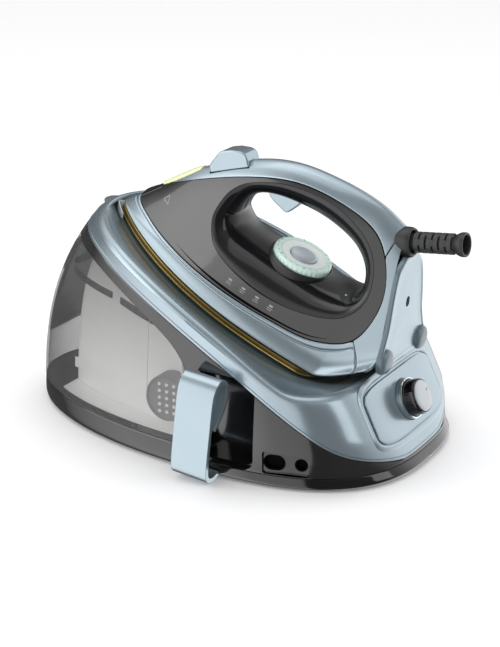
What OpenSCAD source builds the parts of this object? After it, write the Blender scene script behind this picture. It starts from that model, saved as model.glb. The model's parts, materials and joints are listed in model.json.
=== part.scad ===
// Steam generator iron: a hand iron resting on its boiler base.
// Origin: centre of the footprint on the table. +X heel and knob end, -X nose and tank end, +Z up.

/* [Base body] */
// Length of the base at the table, nose to heel
base_len = 374; // [360:1:380]
// Width of the base at its widest section
base_w = 234; // [226:1:238]
// How far the widest section lies heelward of the middle
wide_x = 44; // [38:1:50]
// Height of the black tray's edge above the table
tray_h = 21; // [19:0.5:22]
// Wall thickness of the moulded base shells
shell_t = 2.6; // [2.2:0.1:2.8]
// Gap left between neighbouring mouldings
seam = 0.35; // [0.3:0.05:0.4]
// Height of the blue cover's lower edge at the nose
rim_z = 168; // [167:0.5:169]
// Height of the blue band from its lower edge to its crest
rim_band = 16.5; // [16:0.5:17]
// Height of the cover's crest at the heel
heel_crest = 78; // [77:0.5:79]

/* [Water tank] */
// Rear wall of the tank, along X
tank_rear = 18; // [16:0.5:18]
// Wall thickness of the tank
tank_t = 2.4; // [2.2:0.1:2.6]
// Travel of the tank when it is pulled out
tank_travel = 130; // [100:5:140]

/* [Steam control] */
// Radius of the steam control knob
knob_r = 15.5; // [15:0.5:16]
// Lean of the knob axis above the horizontal
knob_tilt = 24; // [23:0.5:25]
// Radius of the control shaft
shaft_r = 3; // [2.5:0.1:3.2]
// Running clearance round every shaft and pin
run_gap = 0.05; // [0.04:0.01:0.08]

/* [Hose hook and outlets] */
// Width of the hook's band
hook_w = 33; // [30:1:34]
// Thickness of the hook's band
hook_t = 4; // [3.5:0.5:4]
// Radius of the round mains cord opening
cord_open_r = 5.5; // [5:0.1:5.6]

/* [Iron] */
// Incline of the resting iron, nose up
incline = 25; // [24.5:0.5:25.5]
// Half width of the soleplate at its widest
sole_hw = 62; // [61:0.5:62]
// Distance from the nose tip to the widest section
sole_wide = 165; // [163:1:166]
// Length of the soleplate
sole_len = 247; // [246:1:248]
// Thickness of the soleplate
sole_t = 6.5; // [6:0.1:6.5]
// Wall thickness of the iron's mouldings
skin_t = 2.4; // [2.2:0.1:2.5]
// Radius of the temperature dial
dial_r = 26; // [25:0.5:26.5]
// Radius of the ribbed cord sleeve
sleeve_r = 8.6; // [8:0.1:8.6]
// Radius of the steam cord that leaves the sleeve
hose_r = 4.5; // [4:0.1:4.6]

/* [Hidden] */

blue = [0.66, 0.74, 0.79];
dark = [0.23, 0.23, 0.24];
black = [0.06, 0.06, 0.07];
nose_len = base_len / 2 + 1;
nose_lean = 63;
heel_lean = 38;
side_lean = 13;
nt = 60;
// Nose tip of the soleplate, as the iron rests
iron_at = [-115, 0, 173];
pitch = 360 / nt;

// ---- helpers ----
function step(a, b, x) = let (t = min(1, max(0, (x - a) / (b - a)))) t * t * (3 - 2 * t);
function unit(v) = v / max(norm(v), 1e-9);
function mix(a, b, f) = a + (b - a) * f;
function powr(v, e) = sign(v) * pow(abs(v), e);

// Point of a smooth curve through the control points c; closed curves wrap
function cr_at(c, s, closed) = let (
        n = len(c), i = floor(s), f = s - i,
        g = function (j) closed ? c[(j % n + n) % n] : c[min(max(j, 0), n - 1)],
        a = g(i - 1), b = g(i), d = g(i + 1), e = g(i + 2))
    0.5 * (2 * b + (d - a) * f + (2 * a - 5 * b + 4 * d - e) * f * f
        + (3 * b - a - 3 * d + e) * f * f * f);

// Outward normals of a grid of points, and the grid moved in along them by t
function normal_at(g, u, v, wrap) = let (
        nu = len(g), nv = len(g[0]),
        ua = wrap ? (u + nu - 1) % nu : max(u - 1, 0), ub = wrap ? (u + 1) % nu : min(u + 1, nu - 1),
        va = max(v - 1, 0), vb = min(v + 1, nv - 1))
    unit(cross(g[ub][v] - g[ua][v], g[u][vb] - g[u][va]));
function inset(g, t, wrap) =
    [for (u = [0:len(g) - 1]) [for (v = [0:len(g[0]) - 1]) g[u][v] - t * normal_at(g, u, v, wrap)]];

// Solid between two grids of points that face each other
module skin(outer, inner, wrap) {
    nu = len(outer);
    nv = len(outer[0]);
    m = nu * nv;
    at = function (u, v) (u % nu) * nv + v;
    last = wrap ? nu - 1 : nu - 2;
    pts = concat([for (r = outer) for (p = r) p], [for (r = inner) for (p = r) p]);
    quads = concat(
        [for (u = [0:last]) for (v = [0:nv - 2]) [at(u, v), at(u, v + 1), at(u + 1, v + 1), at(u + 1, v)]],
        [for (u = [0:last]) for (v = [0:nv - 2])
            [m + at(u, v), m + at(u + 1, v), m + at(u + 1, v + 1), m + at(u, v + 1)]],
        [for (u = [0:last]) [at(u, 0), at(u + 1, 0), m + at(u + 1, 0), m + at(u, 0)]],
        [for (u = [0:last]) [at(u, nv - 1), m + at(u, nv - 1), m + at(u + 1, nv - 1), at(u + 1, nv - 1)]],
        wrap ? [] : [for (v = [0:nv - 2]) [at(0, v), m + at(0, v), m + at(0, v + 1), at(0, v + 1)]],
        wrap ? [] : [for (v = [0:nv - 2])
            [at(nu - 1, v), at(nu - 1, v + 1), m + at(nu - 1, v + 1), m + at(nu - 1, v)]]);
    polyhedron(pts, [for (q = quads) for (k = [0, 1]) [q[0], q[k + 1], q[k + 2]]], convexity = 8);
}

// Closed loft through rings that end in flat caps, lowest ring first
module loft(rings) {
    n = len(rings[0]);
    m = len(rings);
    sides = [for (r = [0:m - 2]) for (i = [0:n - 1]) let (j = (i + 1) % n)
        [r * n + i, (r + 1) * n + i, (r + 1) * n + j, r * n + j]];
    polyhedron([for (r = rings) for (p = r) p], concat(
        [for (q = sides) for (k = [0, 1]) [q[0], q[k + 1], q[k + 2]]],
        [[for (i = [0:n - 1]) i]], [[for (i = [n - 1:-1:0]) (m - 1) * n + i]]), convexity = 6);
}

// ---- base surfaces ----
function nose_x(z) = -nose_len + nose_lean * pow(max(z, 0) / 181, 2.6);
function heel_x(z) = base_len / 2 - heel_lean * pow(max(z - 6, 0) / 72, 0.9);
function half_w(z) = base_w / 2 - side_lean * pow(max(z, 0) / 180, 1.3);
function heel_n(z) = 2.65 + 1.6 * step(8, 45, z);

// Point on the base wall at plan angle a and height z, moved out by off
function wall(a, z, off = 0) = let (c = cos(a), s = sin(a), e = 2 / heel_n(z)) c >= 0
    ? [wide_x + (heel_x(z) - wide_x + off) * powr(c, e), (half_w(z) + off) * powr(s, e), z]
    : [wide_x + (wide_x - nose_x(z) + off) * c, (half_w(z) + off) * s, z];
function rim_low(x) = rim_z - 0.05 * pow(max(x + 130, 0), 1.4);
function crest(x) = let (a = rim_low(x) + rim_band, d = a - heel_crest)
    heel_crest + (sqrt(d * d + 36) + d) / 2;
// Height on the wall where it meets the curve f(x)
function meet(a, f, off, z = 90, n = 30) = n == 0 ? z
    : meet(a, f, off, 0.5 * z + 0.5 * f(wall(a, z, off)[0]), n - 1);
function plan(off, z = 10) = [for (i = [0:nt - 1]) let (p = wall(i * pitch, z, off)) [p[0], p[1]]];

// ---- rest frame: p along the sole from nose to heel, q square to the sole ----
module rest() {
    translate(iron_at) rotate([0, incline, 0]) children();
}
function rest_pt(p, y, q) = iron_at
    + [p * cos(incline) + q * sin(incline), y, q * cos(incline) - p * sin(incline)];

// Half width of the sole at p
function sole_w(p) = p < sole_wide
    ? sole_hw * pow(1 - pow(1 - max(p, 0) / sole_wide, 2), 0.85)
    : sole_hw - 0.0012 * pow(p - sole_wide, 2);
// Rest recess in the deck, as [p, y] at plan angle a
function recess(a, off = 0) = let (c = cos(a), s = sin(a)) c < 0
    ? [sole_wide + (sole_wide + 7 + off) * c, (sole_hw + 7 + off) * powr(s, 1.7)]
    : [sole_wide + (88 + off) * powr(c, 0.6), (sole_hw + 7 + off) * powr(s, 0.75)];

// Outline of the sole from p = from to p = to, with rounded rear corners
function sole_p(from, to, f) = from + (to - from) * pow(sin(90 * f), 1.6);
function sole_y(grow, to, p) = (sole_w(p) + grow)
    * pow(1 - pow(min(1, max(0, (p - to + 26) / 26)), 2.6), 1 / 2.6);
function sole_plan(grow, from, to, n = 32) = concat(
    [for (i = [0:n]) let (p = sole_p(from, to, i / n)) [p, -sole_y(grow, to, p)]],
    [for (i = [n - 1:-1:0]) let (p = sole_p(from, to, i / n)) [p, sole_y(grow, to, p)]]);

// ---- tank outline in side view ----
function tank_roof(x) = min(rim_low(x) - 9 - 6 * step(-40, 15, x), 165.8 - tan(incline) * (x + 117.6));
function tank_side(grow) = let (r = tank_rear + grow, f = grow > 0 ? 0 : tray_h + 0.8 - grow)
    concat([[-230, f], [r, f], [r, 74 + grow]],
        [for (i = [0:9]) let (x = r - 3 - i * 17) [x, tank_roof(x) + grow]],
        [[-230, tank_roof(-230) + grow]]);
module tank_block(grow) {
    translate([0, 130, 0]) rotate([90, 0, 0]) linear_extrude(260) polygon(tank_side(grow));
}

// Centre line of the hook's band, as [distance out from the wall, height]
hook_path = [[9.9, 7], [18, 4.8], [26, 7], [29.5, 16], [29.5, 50], [28, 80], [20.5, 90], [11, 87],
    [6.5, 77], [10, 65], [17, 56], [23.2, 50]];
function hook_line(n) = [for (i = [0:n]) cr_at(hook_path, i * (len(hook_path) - 1) / n, false)];
function hook_outline(n) = let (
        c = hook_line(n),
        d = [for (i = [0:n]) unit(c[min(i + 1, n)] - c[max(i - 1, 0)])])
    concat([for (i = [0:n]) c[i] + hook_t / 2 * [-d[i][1], d[i][0]]],
        [for (i = [n:-1:0]) c[i] - hook_t / 2 * [-d[i][1], d[i][0]]]);

// ---- placing: the footprint is centred on the origin ----
cord_at = [157, 0, 185.6];
cord_dip = 84;
sleeve_len = 54;
mouth_r = sleeve_r + 1.3;
hook_y = -107.5;
x_min = nose_x(10);
x_max = cord_at[0] + sleeve_len * sin(cord_dip) + mouth_r * cos(cord_dip);
y_min = hook_y - max([for (c = hook_outline(55)) c[0]]);
y_max = half_w(10);
module put() {
    translate([-(x_min + x_max) / 2, -(y_min + y_max) / 2, 0]) children();
}

// ---- base mouldings ----
side_h = 12;
boss_at = [[-150, 0], [-60, 70], [-60, -70], [88, 84], [100, -84], [165, 0]];
foot_at = [[-135, 55], [-135, -55], [140, 62], [140, -62]];

module base_tray() {
    color(black) put() difference() {
        union() {
            difference() {
                translate([0, 0, 4]) linear_extrude(tray_h - 4) polygon(plan(0));
                translate([0, 0, 7]) linear_extrude(tray_h) polygon(plan(-shell_t));
                translate([tank_rear + 0.2, -150, side_h]) cube([300, 300, 20]);
            }
            for (b = boss_at) translate([b[0], b[1], 5]) cylinder(h = 6, r = 4.5, $fn = 32);
            for (f = foot_at) translate([f[0], f[1], 6]) cylinder(h = 3, r = 11, $fn = 40);
        }
        for (b = boss_at) translate([b[0], b[1], 0]) cylinder(h = 30, r = 1.7, $fn = 24);
        for (b = boss_at) translate([b[0], b[1], 0]) cylinder(h = 7, r = 3.4, $fn = 24);
        for (f = foot_at) translate([f[0], f[1], 0]) cylinder(h = 6.5, r = 8.1, $fn = 40);
    }
}

module side_shell() {
    lo = side_h + seam;
    grid = function (off) [for (i = [0:nt - 1])
        let (a = i * pitch, hi = meet(a, function (x) rim_low(x) - seam, 0))
        [for (k = [0:3]) wall(a, mix(lo, max(hi, lo + 1), k / 3), off)]];
    color(dark) put() difference() {
        skin(grid(0), grid(-shell_t), true);
        tank_block(0.6);
        bay_shape(1.2, under_rim = false);
        outlet_frame() translate([-20.4, -20, -9.9]) cube([40.8, 40, 19.8]);
    }
}

module deck_cover() {
    floor_q = -3.6;
    outer = [for (i = [0:nt - 1]) let (
            a = i * pitch,
            lo = max(meet(a, function (x) rim_low(x), 0), side_h + 1 + 2 * seam),
            hi = meet(a, function (x) crest(x), -3),
            f = recess(a), g = recess(a, -7),
            w6 = wall(a, hi - 1.5, -9), fl = rest_pt(f[0], f[1], floor_q + 4))
        [wall(a, lo), wall(a, mix(lo, hi, 0.3)), wall(a, mix(lo, hi, 0.65)), wall(a, hi - 4.5, -0.4),
            wall(a, hi - 1.2, -2.2), wall(a, hi, -5), w6, mix(w6, fl, 0.5), fl,
            rest_pt(f[0], f[1], floor_q), rest_pt(g[0], g[1], floor_q)]];
    bare = inset(outer, shell_t, true);
    // The wall below the crest keeps its thickness square to the joint with the side shell
    inner = [for (i = [0:nt - 1]) [for (k = [0:10]) let (z = outer[i][k][2])
        k < 3 ? wall(i * pitch, z, -shell_t) : bare[i][k]]];
    color(blue) put() difference() {
        skin(outer, inner, true);
        knob_hole();
    }
}

module rest_plate() {
    pts = [for (i = [0:nt - 1]) recess(i * pitch, -0.7)];
    color([0.16, 0.2, 0.22]) put() rest() difference() {
        translate([0, 0, -3.3]) linear_extrude(3) polygon(pts);
        for (s = [-1, 1]) translate([205, s * 40, -10]) cylinder(h = 20, r = 2, $fn = 24);
    }
}

// Clear silicone stop round the nose of the resting iron
module nose_stop() {
    outer = [for (i = [0:16]) let (a = 180 - 24 + i * 3, r = recess(a, -4), s = recess(a, -3.8))
        [for (k = [0:3]) rest_pt(mix(r[0], s[0], k / 3), mix(r[1], s[1], k / 3), 0.8 + 5.2 * k / 3)]];
    color([0.9, 0.92, 0.92, 0.6]) put() skin(inset(outer, -1.6, false), outer, false);
}

module knob_axis() {
    translate([heel_x(50), 0, 50]) rotate([0, 90 - knob_tilt, 0]) children();
}

module knob_hole() {
    knob_axis() translate([0, 0, -30]) cylinder(h = 60, r = knob_r + 2.4, $fn = 48);
}

module control_panel() {
    n = 20;
    outer = [for (i = [0:n]) let (
            f = 2 * i / n - 1, yy = 60 * f, h = 22.5 * pow(1 - pow(abs(f) * 0.985, 5), 0.2))
        [for (k = [0:4]) let (z = 52 + h * (k / 2 - 1), e = heel_n(z), span = heel_x(z) + 2.1 - wide_x)
            [wide_x + span * pow(1 - pow(abs(yy) / half_w(z), e), 1 / e), yy, z]]];
    color(blue) put() difference() {
        skin(outer, inset(outer, 1.4, false), false);
        knob_hole();
    }
}

module knob_collar() {
    color(blue) put() knob_axis() difference() {
        union() {
            translate([0, 0, -7]) cylinder(h = 13, r = knob_r + 1.8, $fn = 64);
            translate([0, 0, -11]) cylinder(h = 4.5, r = knob_r + 4.5, $fn = 64);
        }
        translate([0, 0, -20]) cylinder(h = 40, r = shaft_r + run_gap, $fn = 32);
        translate([0, 0, 3]) cylinder(h = 10, r = knob_r + 0.5, $fn = 64);
    }
}

module knob_ring() {
    color([0.85, 0.85, 0.86]) put() knob_axis() translate([0, 0, 6.05]) difference() {
        cylinder(h = 1.2, r = knob_r + 1.8, $fn = 64);
        translate([0, 0, -1]) cylinder(h = 4, r = knob_r + 0.5, $fn = 64);
    }
}

module steam_knob() {
    color(black) put() knob_axis() difference() {
        union() {
            translate([0, 0, 3.6]) cylinder(h = 12.4, r1 = knob_r, r2 = knob_r - 0.9, $fn = 64);
            translate([0, 0, 16]) cylinder(h = 0.8, r1 = knob_r - 0.9, r2 = knob_r - 1.7, $fn = 64);
        }
        translate([0, 0, 0]) cylinder(h = 11, r = shaft_r + 0.02, $fn = 32);
        translate([0, 0, 14.9]) cylinder(h = 5, r = knob_r - 2.3, $fn = 64);
    }
}

module knob_cap() {
    color([0.8, 0.82, 0.84]) put() knob_axis() translate([0, 0, 14.95]) union() {
        cylinder(h = 2.2, r = knob_r - 2.35, $fn = 64);
        translate([0, 0, 2.2]) cylinder(h = 0.8, r1 = knob_r - 2.35, r2 = knob_r - 3.3, $fn = 64);
    }
}

module knob_shaft() {
    color("silver") put() knob_axis() translate([0, 0, -17]) cylinder(h = 27.5, r = shaft_r, $fn = 32);
}

module control_pot() {
    color([0.3, 0.35, 0.3]) put() knob_axis() difference() {
        union() {
            translate([0, 0, -20]) cylinder(h = 8.5, r = 11, $fn = 48);
            translate([-6, -11, -17]) cube([16, 22, 3]);
        }
        translate([0, 0, -17.4]) cylinder(h = 20, r = shaft_r + run_gap, $fn = 32);
    }
}

// ---- hook side ----
bay_at = [54, 0, 50.4];
bay_floor = 90;
// The bay's box ends just below the deck cover's rim
function bay_top(x, grow) = rim_low(bay_at[0] + x) - bay_at[2] - 1 + 1.15 * grow;
module bay_shape(grow, under_rim = true) {
    top = function (x) under_rim ? bay_top(x, grow) : 50;
    translate([bay_at[0], -bay_floor - min(grow, 0), bay_at[2]]) rotate([90, 0, 0]) linear_extrude(60)
        intersection() {
            union() {
                square([40 + 2 * grow, 75 + 2 * grow], center = true);
                square([58 + 2 * grow, 57 + 2 * grow], center = true);
                for (sx = [-1, 1], sz = [-1, 1]) translate([sx * 20, sz * 28.5])
                    circle(r = 9 + grow, $fn = 48);
            }
            polygon([[-40, -50], [40, -50], [40, top(40)], [5, top(5)], [-40, 50]]);
        }
}
module hook_bay() {
    color(black) put() difference() {
        intersection() {
            bay_shape(0.4);
            linear_extrude(100) polygon(plan(-0.8, 88));
        }
        translate([0, -4, 0]) bay_shape(-2);
    }
}

module hose_hook() {
    color(blue) put() translate([36, hook_y, 0]) rotate([0, 5.8, 0]) rotate([90, 0, 90])
        translate([0, 0, -hook_w / 2]) mirror([1, 0, 0]) linear_extrude(hook_w) polygon(hook_outline(55));
}

// Frame on the wall at the cord outlets, +Y outward turned to face the room
module outlet_frame() {
    translate([109.5, -107.4, 22.6]) rotate([0, 0, 15]) children();
}
module outlet_plate() {
    color(dark) put() outlet_frame() difference() {
        translate([-20, -2.2, -9.5]) cube([40, 2.4, 19]);
        translate([-7, 20, 0]) rotate([90, 0, 0]) cylinder(h = 60, r = 6.7, $fn = 48);
        translate([-12, 20, 0]) rotate([90, 0, 0]) cylinder(h = 60, r = 6.7, $fn = 48);
        translate([-12, -30, -6.7]) cube([5, 50, 13.4]);
        translate([12.5, 20, 0]) rotate([90, 0, 0]) cylinder(h = 60, r = cord_open_r, $fn = 48);
    }
}

// ---- water tank ----
function tank_rings(off, lo) = [for (z = [lo, 50, 85, 115, 140, 165])
    [for (i = [0:nt - 1]) wall(i * pitch, z, off)]];
module lid_zone(grow) {
    translate([-210, -26 - grow, 117 - grow]) cube([80, 52 + 2 * grow, 29 + 2 * grow]);
}
module water_tank() {
    lo = tray_h + 0.8;
    color([0.75, 0.77, 0.78, 0.4]) put() difference() {
        intersection() {
            loft(tank_rings(0, lo - 0.1));
            tank_block(0);
        }
        intersection() {
            loft(tank_rings(-tank_t, lo + tank_t));
            tank_block(-tank_t);
        }
        lid_zone(0.4);
        translate([0, 0, 36]) rotate([0, 90, 0]) cylinder(h = 60, r = 7, $fn = 40);
    }
}

// Push-in lid of the filler opening, with the collar that sits in the opening
module tank_lid() {
    outer = [for (i = [0:12]) let (yy = 25.6 * (1 - 2 * i / 12))
        [for (k = [0:3]) let (z = 118.5 + 27 * k / 3)
            [wide_x - (wide_x - nose_x(z)) * sqrt(1 - pow(yy / half_w(z), 2)), yy, z]]];
    color(dark) put() union() {
        skin(outer, inset(outer, tank_t, false), false);
        intersection() {
            difference() {
                translate([-172, -20, 122]) cube([24, 40, 19]);
                translate([-173, -18, 124]) cube([40, 36, 15]);
            }
            loft(tank_rings(-1, tray_h));
        }
    }
}

module tank_valve() {
    color(dark) put() translate([tank_rear - 8, 0, 36]) rotate([0, 90, 0]) difference() {
        union() {
            cylinder(h = 18, r = 7, $fn = 40);
            cylinder(h = 5, r = 9.5, $fn = 40);
        }
        translate([0, 0, 2]) cylinder(h = 30, r = 5, $fn = 40);
        translate([0, 0, -1]) cylinder(h = 30, r = 2, $fn = 24);
    }
}

module tank_socket() {
    color(black) put() translate([tank_rear + 1.2, 0, 36]) rotate([0, 90, 0]) difference() {
        union() {
            cylinder(h = 14, r = 10, $fn = 48);
            translate([0, 0, 9]) rotate([-90, 0, 0]) cylinder(h = 19, r = 3.4, $fn = 32);
        }
        translate([0, 0, -1]) cylinder(h = 12, r = 7.2, $fn = 48);
        translate([0, 0, 9]) rotate([-90, 0, 0]) cylinder(h = 30, r = 1.6, $fn = 24);
    }
}

// Anti-scale cartridge behind the near wall of the tank
module scale_filter() {
    color([0.45, 0.45, 0.46]) put() translate([-6, -103, 52]) rotate([90, 0, 0]) difference() {
        translate([0, 0, -26]) cylinder(h = 26, r = 20, $fn = 64);
        for (i = [-1:1], k = [-2:2]) translate([i * 7, k * 6, -4]) cylinder(h = 6, r = 1.6, $fn = 20);
    }
}

// ---- steam plant ----
boiler_at = [66, 0, 43];
module boiler() {
    color([0.72, 0.73, 0.74]) put() translate(boiler_at) rotate([90, 0, 0]) difference() {
        union() {
            cylinder(h = 104, r = 27, center = true, $fn = 72);
            cylinder(h = 110, r = 22, center = true, $fn = 72);
            translate([0, 0, 55]) cylinder(h = 8, r = 4, $fn = 32);
            translate([0, 12, -63]) cylinder(h = 8, r = 3.4, $fn = 32);
        }
        cylinder(h = 106, r = 21, center = true, $fn = 72);
        translate([0, 0, 50]) cylinder(h = 20, r = 2, $fn = 24);
        translate([0, 12, -70]) cylinder(h = 20, r = 1.6, $fn = 24);
    }
}
module boiler_cradle() {
    color([0.4, 0.4, 0.4]) put() difference() {
        for (s = [-1, 1]) translate([boiler_at[0] - 26, s * 32 - 5, 7.2]) cube([52, 10, 22]);
        translate(boiler_at) rotate([90, 0, 0]) cylinder(h = 200, r = 27.2, center = true, $fn = 72);
    }
}
module boiler_heater() {
    color([0.35, 0.34, 0.36]) put() translate(boiler_at) rotate([-90, 0, 0]) translate([0, 0, 58.7])
        difference() {
            rotate_extrude($fn = 72) translate([16, 0]) circle(r = 3.4, $fn = 32);
            translate([-5, -28, -10]) cube([10, 20, 20]);
        }
}
pump_x = 114;
module water_pump() {
    color([0.85, 0.86, 0.86]) put() translate([pump_x, 34, 36]) rotate([90, 0, 0]) difference() {
        union() {
            cylinder(h = 46, r = 13, center = true, $fn = 48);
            cylinder(h = 26, r = 15, center = true, $fn = 48);
            translate([-9, -28.7, -11]) cube([18, 20, 22]);
            cylinder(h = 62, r = 3.4, center = true, $fn = 32);
        }
        cylinder(h = 80, r = 1.6, center = true, $fn = 24);
    }
}
module steam_valve() {
    color([0.75, 0.62, 0.3]) put() difference() {
        union() {
            translate([56, -84, 30]) cube([20, 18, 24]);
            translate([66, -75, 52]) cylinder(h = 18, r = 8, $fn = 40);
            translate([75, -75, 42]) rotate([0, 90, 0]) cylinder(h = 6, r = 4, $fn = 32);
        }
        translate([66, -60, 43]) rotate([90, 0, 0]) cylinder(h = 12, r = 4.2, $fn = 32);
        translate([70, -75, 42]) rotate([0, 90, 0]) cylinder(h = 20, r = 2, $fn = 24);
    }
}
module circuit_board() {
    color([0.1, 0.4, 0.2]) put() union() {
        translate([136, -52, 12]) cube([1.6, 92, 34]);
        translate([125, -46, 20]) cube([11.2, 16, 14]);
        translate([128, -20, 24]) rotate([0, 90, 0]) cylinder(h = 8.2, r = 5, $fn = 32);
        translate([128, -5, 24]) rotate([0, 90, 0]) cylinder(h = 8.2, r = 5, $fn = 32);
        for (i = [0:4]) translate([132.5, 6 + 6 * i, 38]) cube([3.7, 4, 3]);
    }
}
// Quarter bend of a hose of outer radius w, starting along +X and turning to +Y about [0, r]
module bend(r, w) {
    translate([0, r, 0]) rotate([0, 0, -90]) rotate_extrude(angle = 90, $fn = 48)
        translate([r, 0]) circle(r = w, $fn = 32);
}
// Feed hose from the tank socket to the pump
module water_pipe() {
    w = 3.6;
    color([0.9, 0.9, 0.9]) put() translate([0, 0, 36]) union() {
        translate([28.2, 19.1, 0]) rotate([-90, 0, 0]) cylinder(h = 48.9, r = w, $fn = 32);
        translate([28.2, 68, 0]) rotate([180, 0, 90]) bend(12, w);
        translate([40.2, 80, 0]) rotate([0, 90, 0]) cylinder(h = pump_x - 52.2, r = w, $fn = 32);
        translate([pump_x - 12, 80, 0]) rotate([180, 0, 0]) bend(12, w);
        translate([pump_x, 68, 0]) rotate([90, 0, 0]) cylinder(h = 2.9, r = w, $fn = 32);
    }
}
// Steam line from the valve to the oblong outlet
module steam_pipe() {
    w = 3.9;
    color([0.8, 0.5, 0.3]) put() translate([0, -75, 42]) union() {
        translate([81.1, 0, 0]) rotate([0, 90, 0]) cylinder(h = 4.9, r = w, $fn = 32);
        translate([86, 0, 0]) rotate([-90, 0, 0]) bend(10, w);
        translate([96, 0, -10]) rotate([180, 90, 0]) bend(9.4, w);
        translate([96, -9.4, -19.4]) rotate([90, 0, 0]) cylinder(h = 18, r = w, $fn = 32);
    }
}
module rubber_feet() {
    color([0.15, 0.15, 0.15]) put() for (f = foot_at) translate([f[0], f[1], 0]) union() {
        cylinder(h = 6.4, r = 8, $fn = 40);
    }
}
module base_screws() {
    color("silver") put() for (b = boss_at) translate([b[0], b[1], 5.2]) union() {
        cylinder(h = 1.7, r = 3.1, $fn = 32);
        cylinder(h = 8, r = 1.6, $fn = 24);
    }
}

// ---- iron surfaces ----
ridge_pts = [[0, 8.5], [30, 48], [58, 82], [98, 115], [133, 133], [175, 141.5], [210, 143], [236, 138],
    [256, 131], [292, 118]];
ridge_tab = [for (i = [0:54]) cr_at(ridge_pts, i / 6, false)];
function q_top(p) = lookup(p, ridge_tab);
function q_bot(p) = 8.5 + (p < 238 ? 0 : 0.22 * pow(p - 238, 1.35));
// Half width of the iron's body at p along and q up from the sole
function body_w(p, q) = let (s = min(1, max(0, (q - q_bot(p)) / (q_top(p) - q_bot(p)))))
    sole_w(p) * (0.78 * sqrt(1 - s) + 0.22 * exp(-s / 0.05));
function skin_pt(c, side) = rest_pt(c[0], side * body_w(c[0], c[1]), c[1]);

// Side panel edge, grip edge and hand opening, each from the nose over the top, as [p, q]
panel_pts = [[14, 27.5], [45, 60], [96, 99.5], [140, 123], [185, 130.5], [222, 126], [246, 104], [256, 76],
    [250, 44], [222, 27], [180, 22], [130, 19], [80, 18], [38, 20]];
grip_pts = [[92.5, 69], [96, 88], [110, 104], [140, 119.5], [180, 126.5], [214, 120], [234, 104], [243, 78],
    [233, 55.5], [206, 42.5], [170, 36], [133, 37.5], [108, 44], [95.5, 57]];
open_pts = [[105, 71], [109, 86], [120, 96], [140, 102.5], [172, 107], [204, 104], [223, 93], [230, 79],
    [225, 67], [203, 60.5], [170, 58.5], [138, 58], [116, 58], [107, 63]];
function panel_at(k) = cr_at(panel_pts, k, true);
function grip_at(k) = cr_at(grip_pts, k, true);
function open_at(k) = cr_at(open_pts, k, true);
upper_tab = [for (i = [0:36]) panel_at(i / 6)];
lower_tab = [for (i = [0:36]) panel_at(14 - i / 6)];
function upper_edge(p) = lookup(p, upper_tab);
function lower_edge(p) = lookup(p, lower_tab);

up = [sin(incline), 0, cos(incline)];
// Inner point that stays level with its outer point o, or at least q above the sole
function side_in(o, i, t) = abs(o[1]) > t + 1 ? [o[0], o[1] - sign(o[1]) * t, o[2]] : i;
function below(o, i) = i - max(0, (i - o) * up) * up;
function above(i, q) = i + max(0, q - (i - iron_at) * up) * up;

nk = 56;
module side_panel() {
    outer = [for (i = [0:nk - 1]) let (k = i * 14 / nk, g = grip_at(k), b = panel_at(k), d = unit(b - g))
        [for (j = [0:3]) skin_pt(mix(g + 0.4 * d, b - 0.8 * d, j / 3), -1)]];
    inner = [for (r = outer) [for (p = r) [p[0], min(p[1] + skin_t, -0.25), p[2]]]];
    skin([for (r = outer) [for (p = r) [p[0], min(p[1], -0.5), p[2]]]], inner, true);
}
module panel_near() {
    color(dark) put() side_panel();
}
module panel_far() {
    color(dark) put() mirror([0, 1, 0]) side_panel();
}

dial_at = [170, 0, 0];
module handle_grip() {
    outer = [for (i = [0:nk - 1]) let (k = i * 14 / nk, g = grip_at(k), o = open_at(k))
        [for (j = [0:8]) let (f = 90 - 22.5 * j, c = mix(o, g, 1 - cos(f)))
            rest_pt(c[0], body_w(g[0], g[1]) * sin(f), c[1])]];
    bare = inset(outer, skin_t, true);
    inner = [for (i = [0:nk - 1]) [for (j = [0:8])
        j % 8 == 0 ? side_in(outer[i][j], bare[i][j], skin_t) : bare[i][j]]];
    color(black) put() difference() {
        union() {
            skin(outer, inner, true);
            rest() for (s = [-1, 1]) translate([120, s * 8.5 - 1.5, 101]) cube([8, 3, 9]);
        }
        rest() translate([118.5, -5.8, 85]) cube([33, 11.6, 30]);
        side_cut(40) translate(trigger_pin_at) circle(r = 1.5, $fn = 24);
        rest() translate(dial_at) cylinder(h = 90, r = 28.4, $fn = 72);
    }
}

module top_cover() {
    from = 33.6;
    n = 26;
    outer = [for (i = [0:n]) let (
            p = mix(from, 237.6, i / n), hi = q_top(p) - 0.01, lo = min(upper_edge(p) + 0.75, hi - 0.3))
        [for (j = [0:10]) let (f = abs(j - 5) / 5, q = lo + (hi - lo) * (1 - f * f))
            skin_pt([p, q], j == 5 ? 0 : (j < 5 ? -1 : 1))]];
    bare = inset(outer, skin_t, false);
    inner = [for (i = [0:n]) [for (j = [0:10])
        j % 10 == 0 ? side_in(outer[i][j], bare[i][j], skin_t) : bare[i][j]]];
    color(blue) put() difference() {
        skin(outer, inner, false);
        ridge_frame() translate([-17.5, -10.5, -20]) cube([39.5, 21, 40]);
        cord_hole();
    }
}

module lower_skirt() {
    n = 22;
    outer = [for (i = [-n:n]) let (f = pow(abs(i) / n, 1.35), pt = mix(14, 252.6, f), pb = 266 * f,
            s = i < 0 ? 1 : (i > 0 ? -1 : 0), qb = q_bot(pb), qt = lower_edge(pt) - 0.9)
        [for (j = [0:4]) let (g = j / 4) skin_pt([mix(pb, pt, g), mix(qb, qt, g)], s)]];
    bare = inset(outer, skin_t, false);
    inner = [for (i = [0:2 * n]) [for (j = [0:4])
        above(j == 4 || i % (2 * n) == 0 ? below(outer[i][j], bare[i][j]) : bare[i][j], 8.5)]];
    color(blue) put() skin(outer, inner, false);
}

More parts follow.
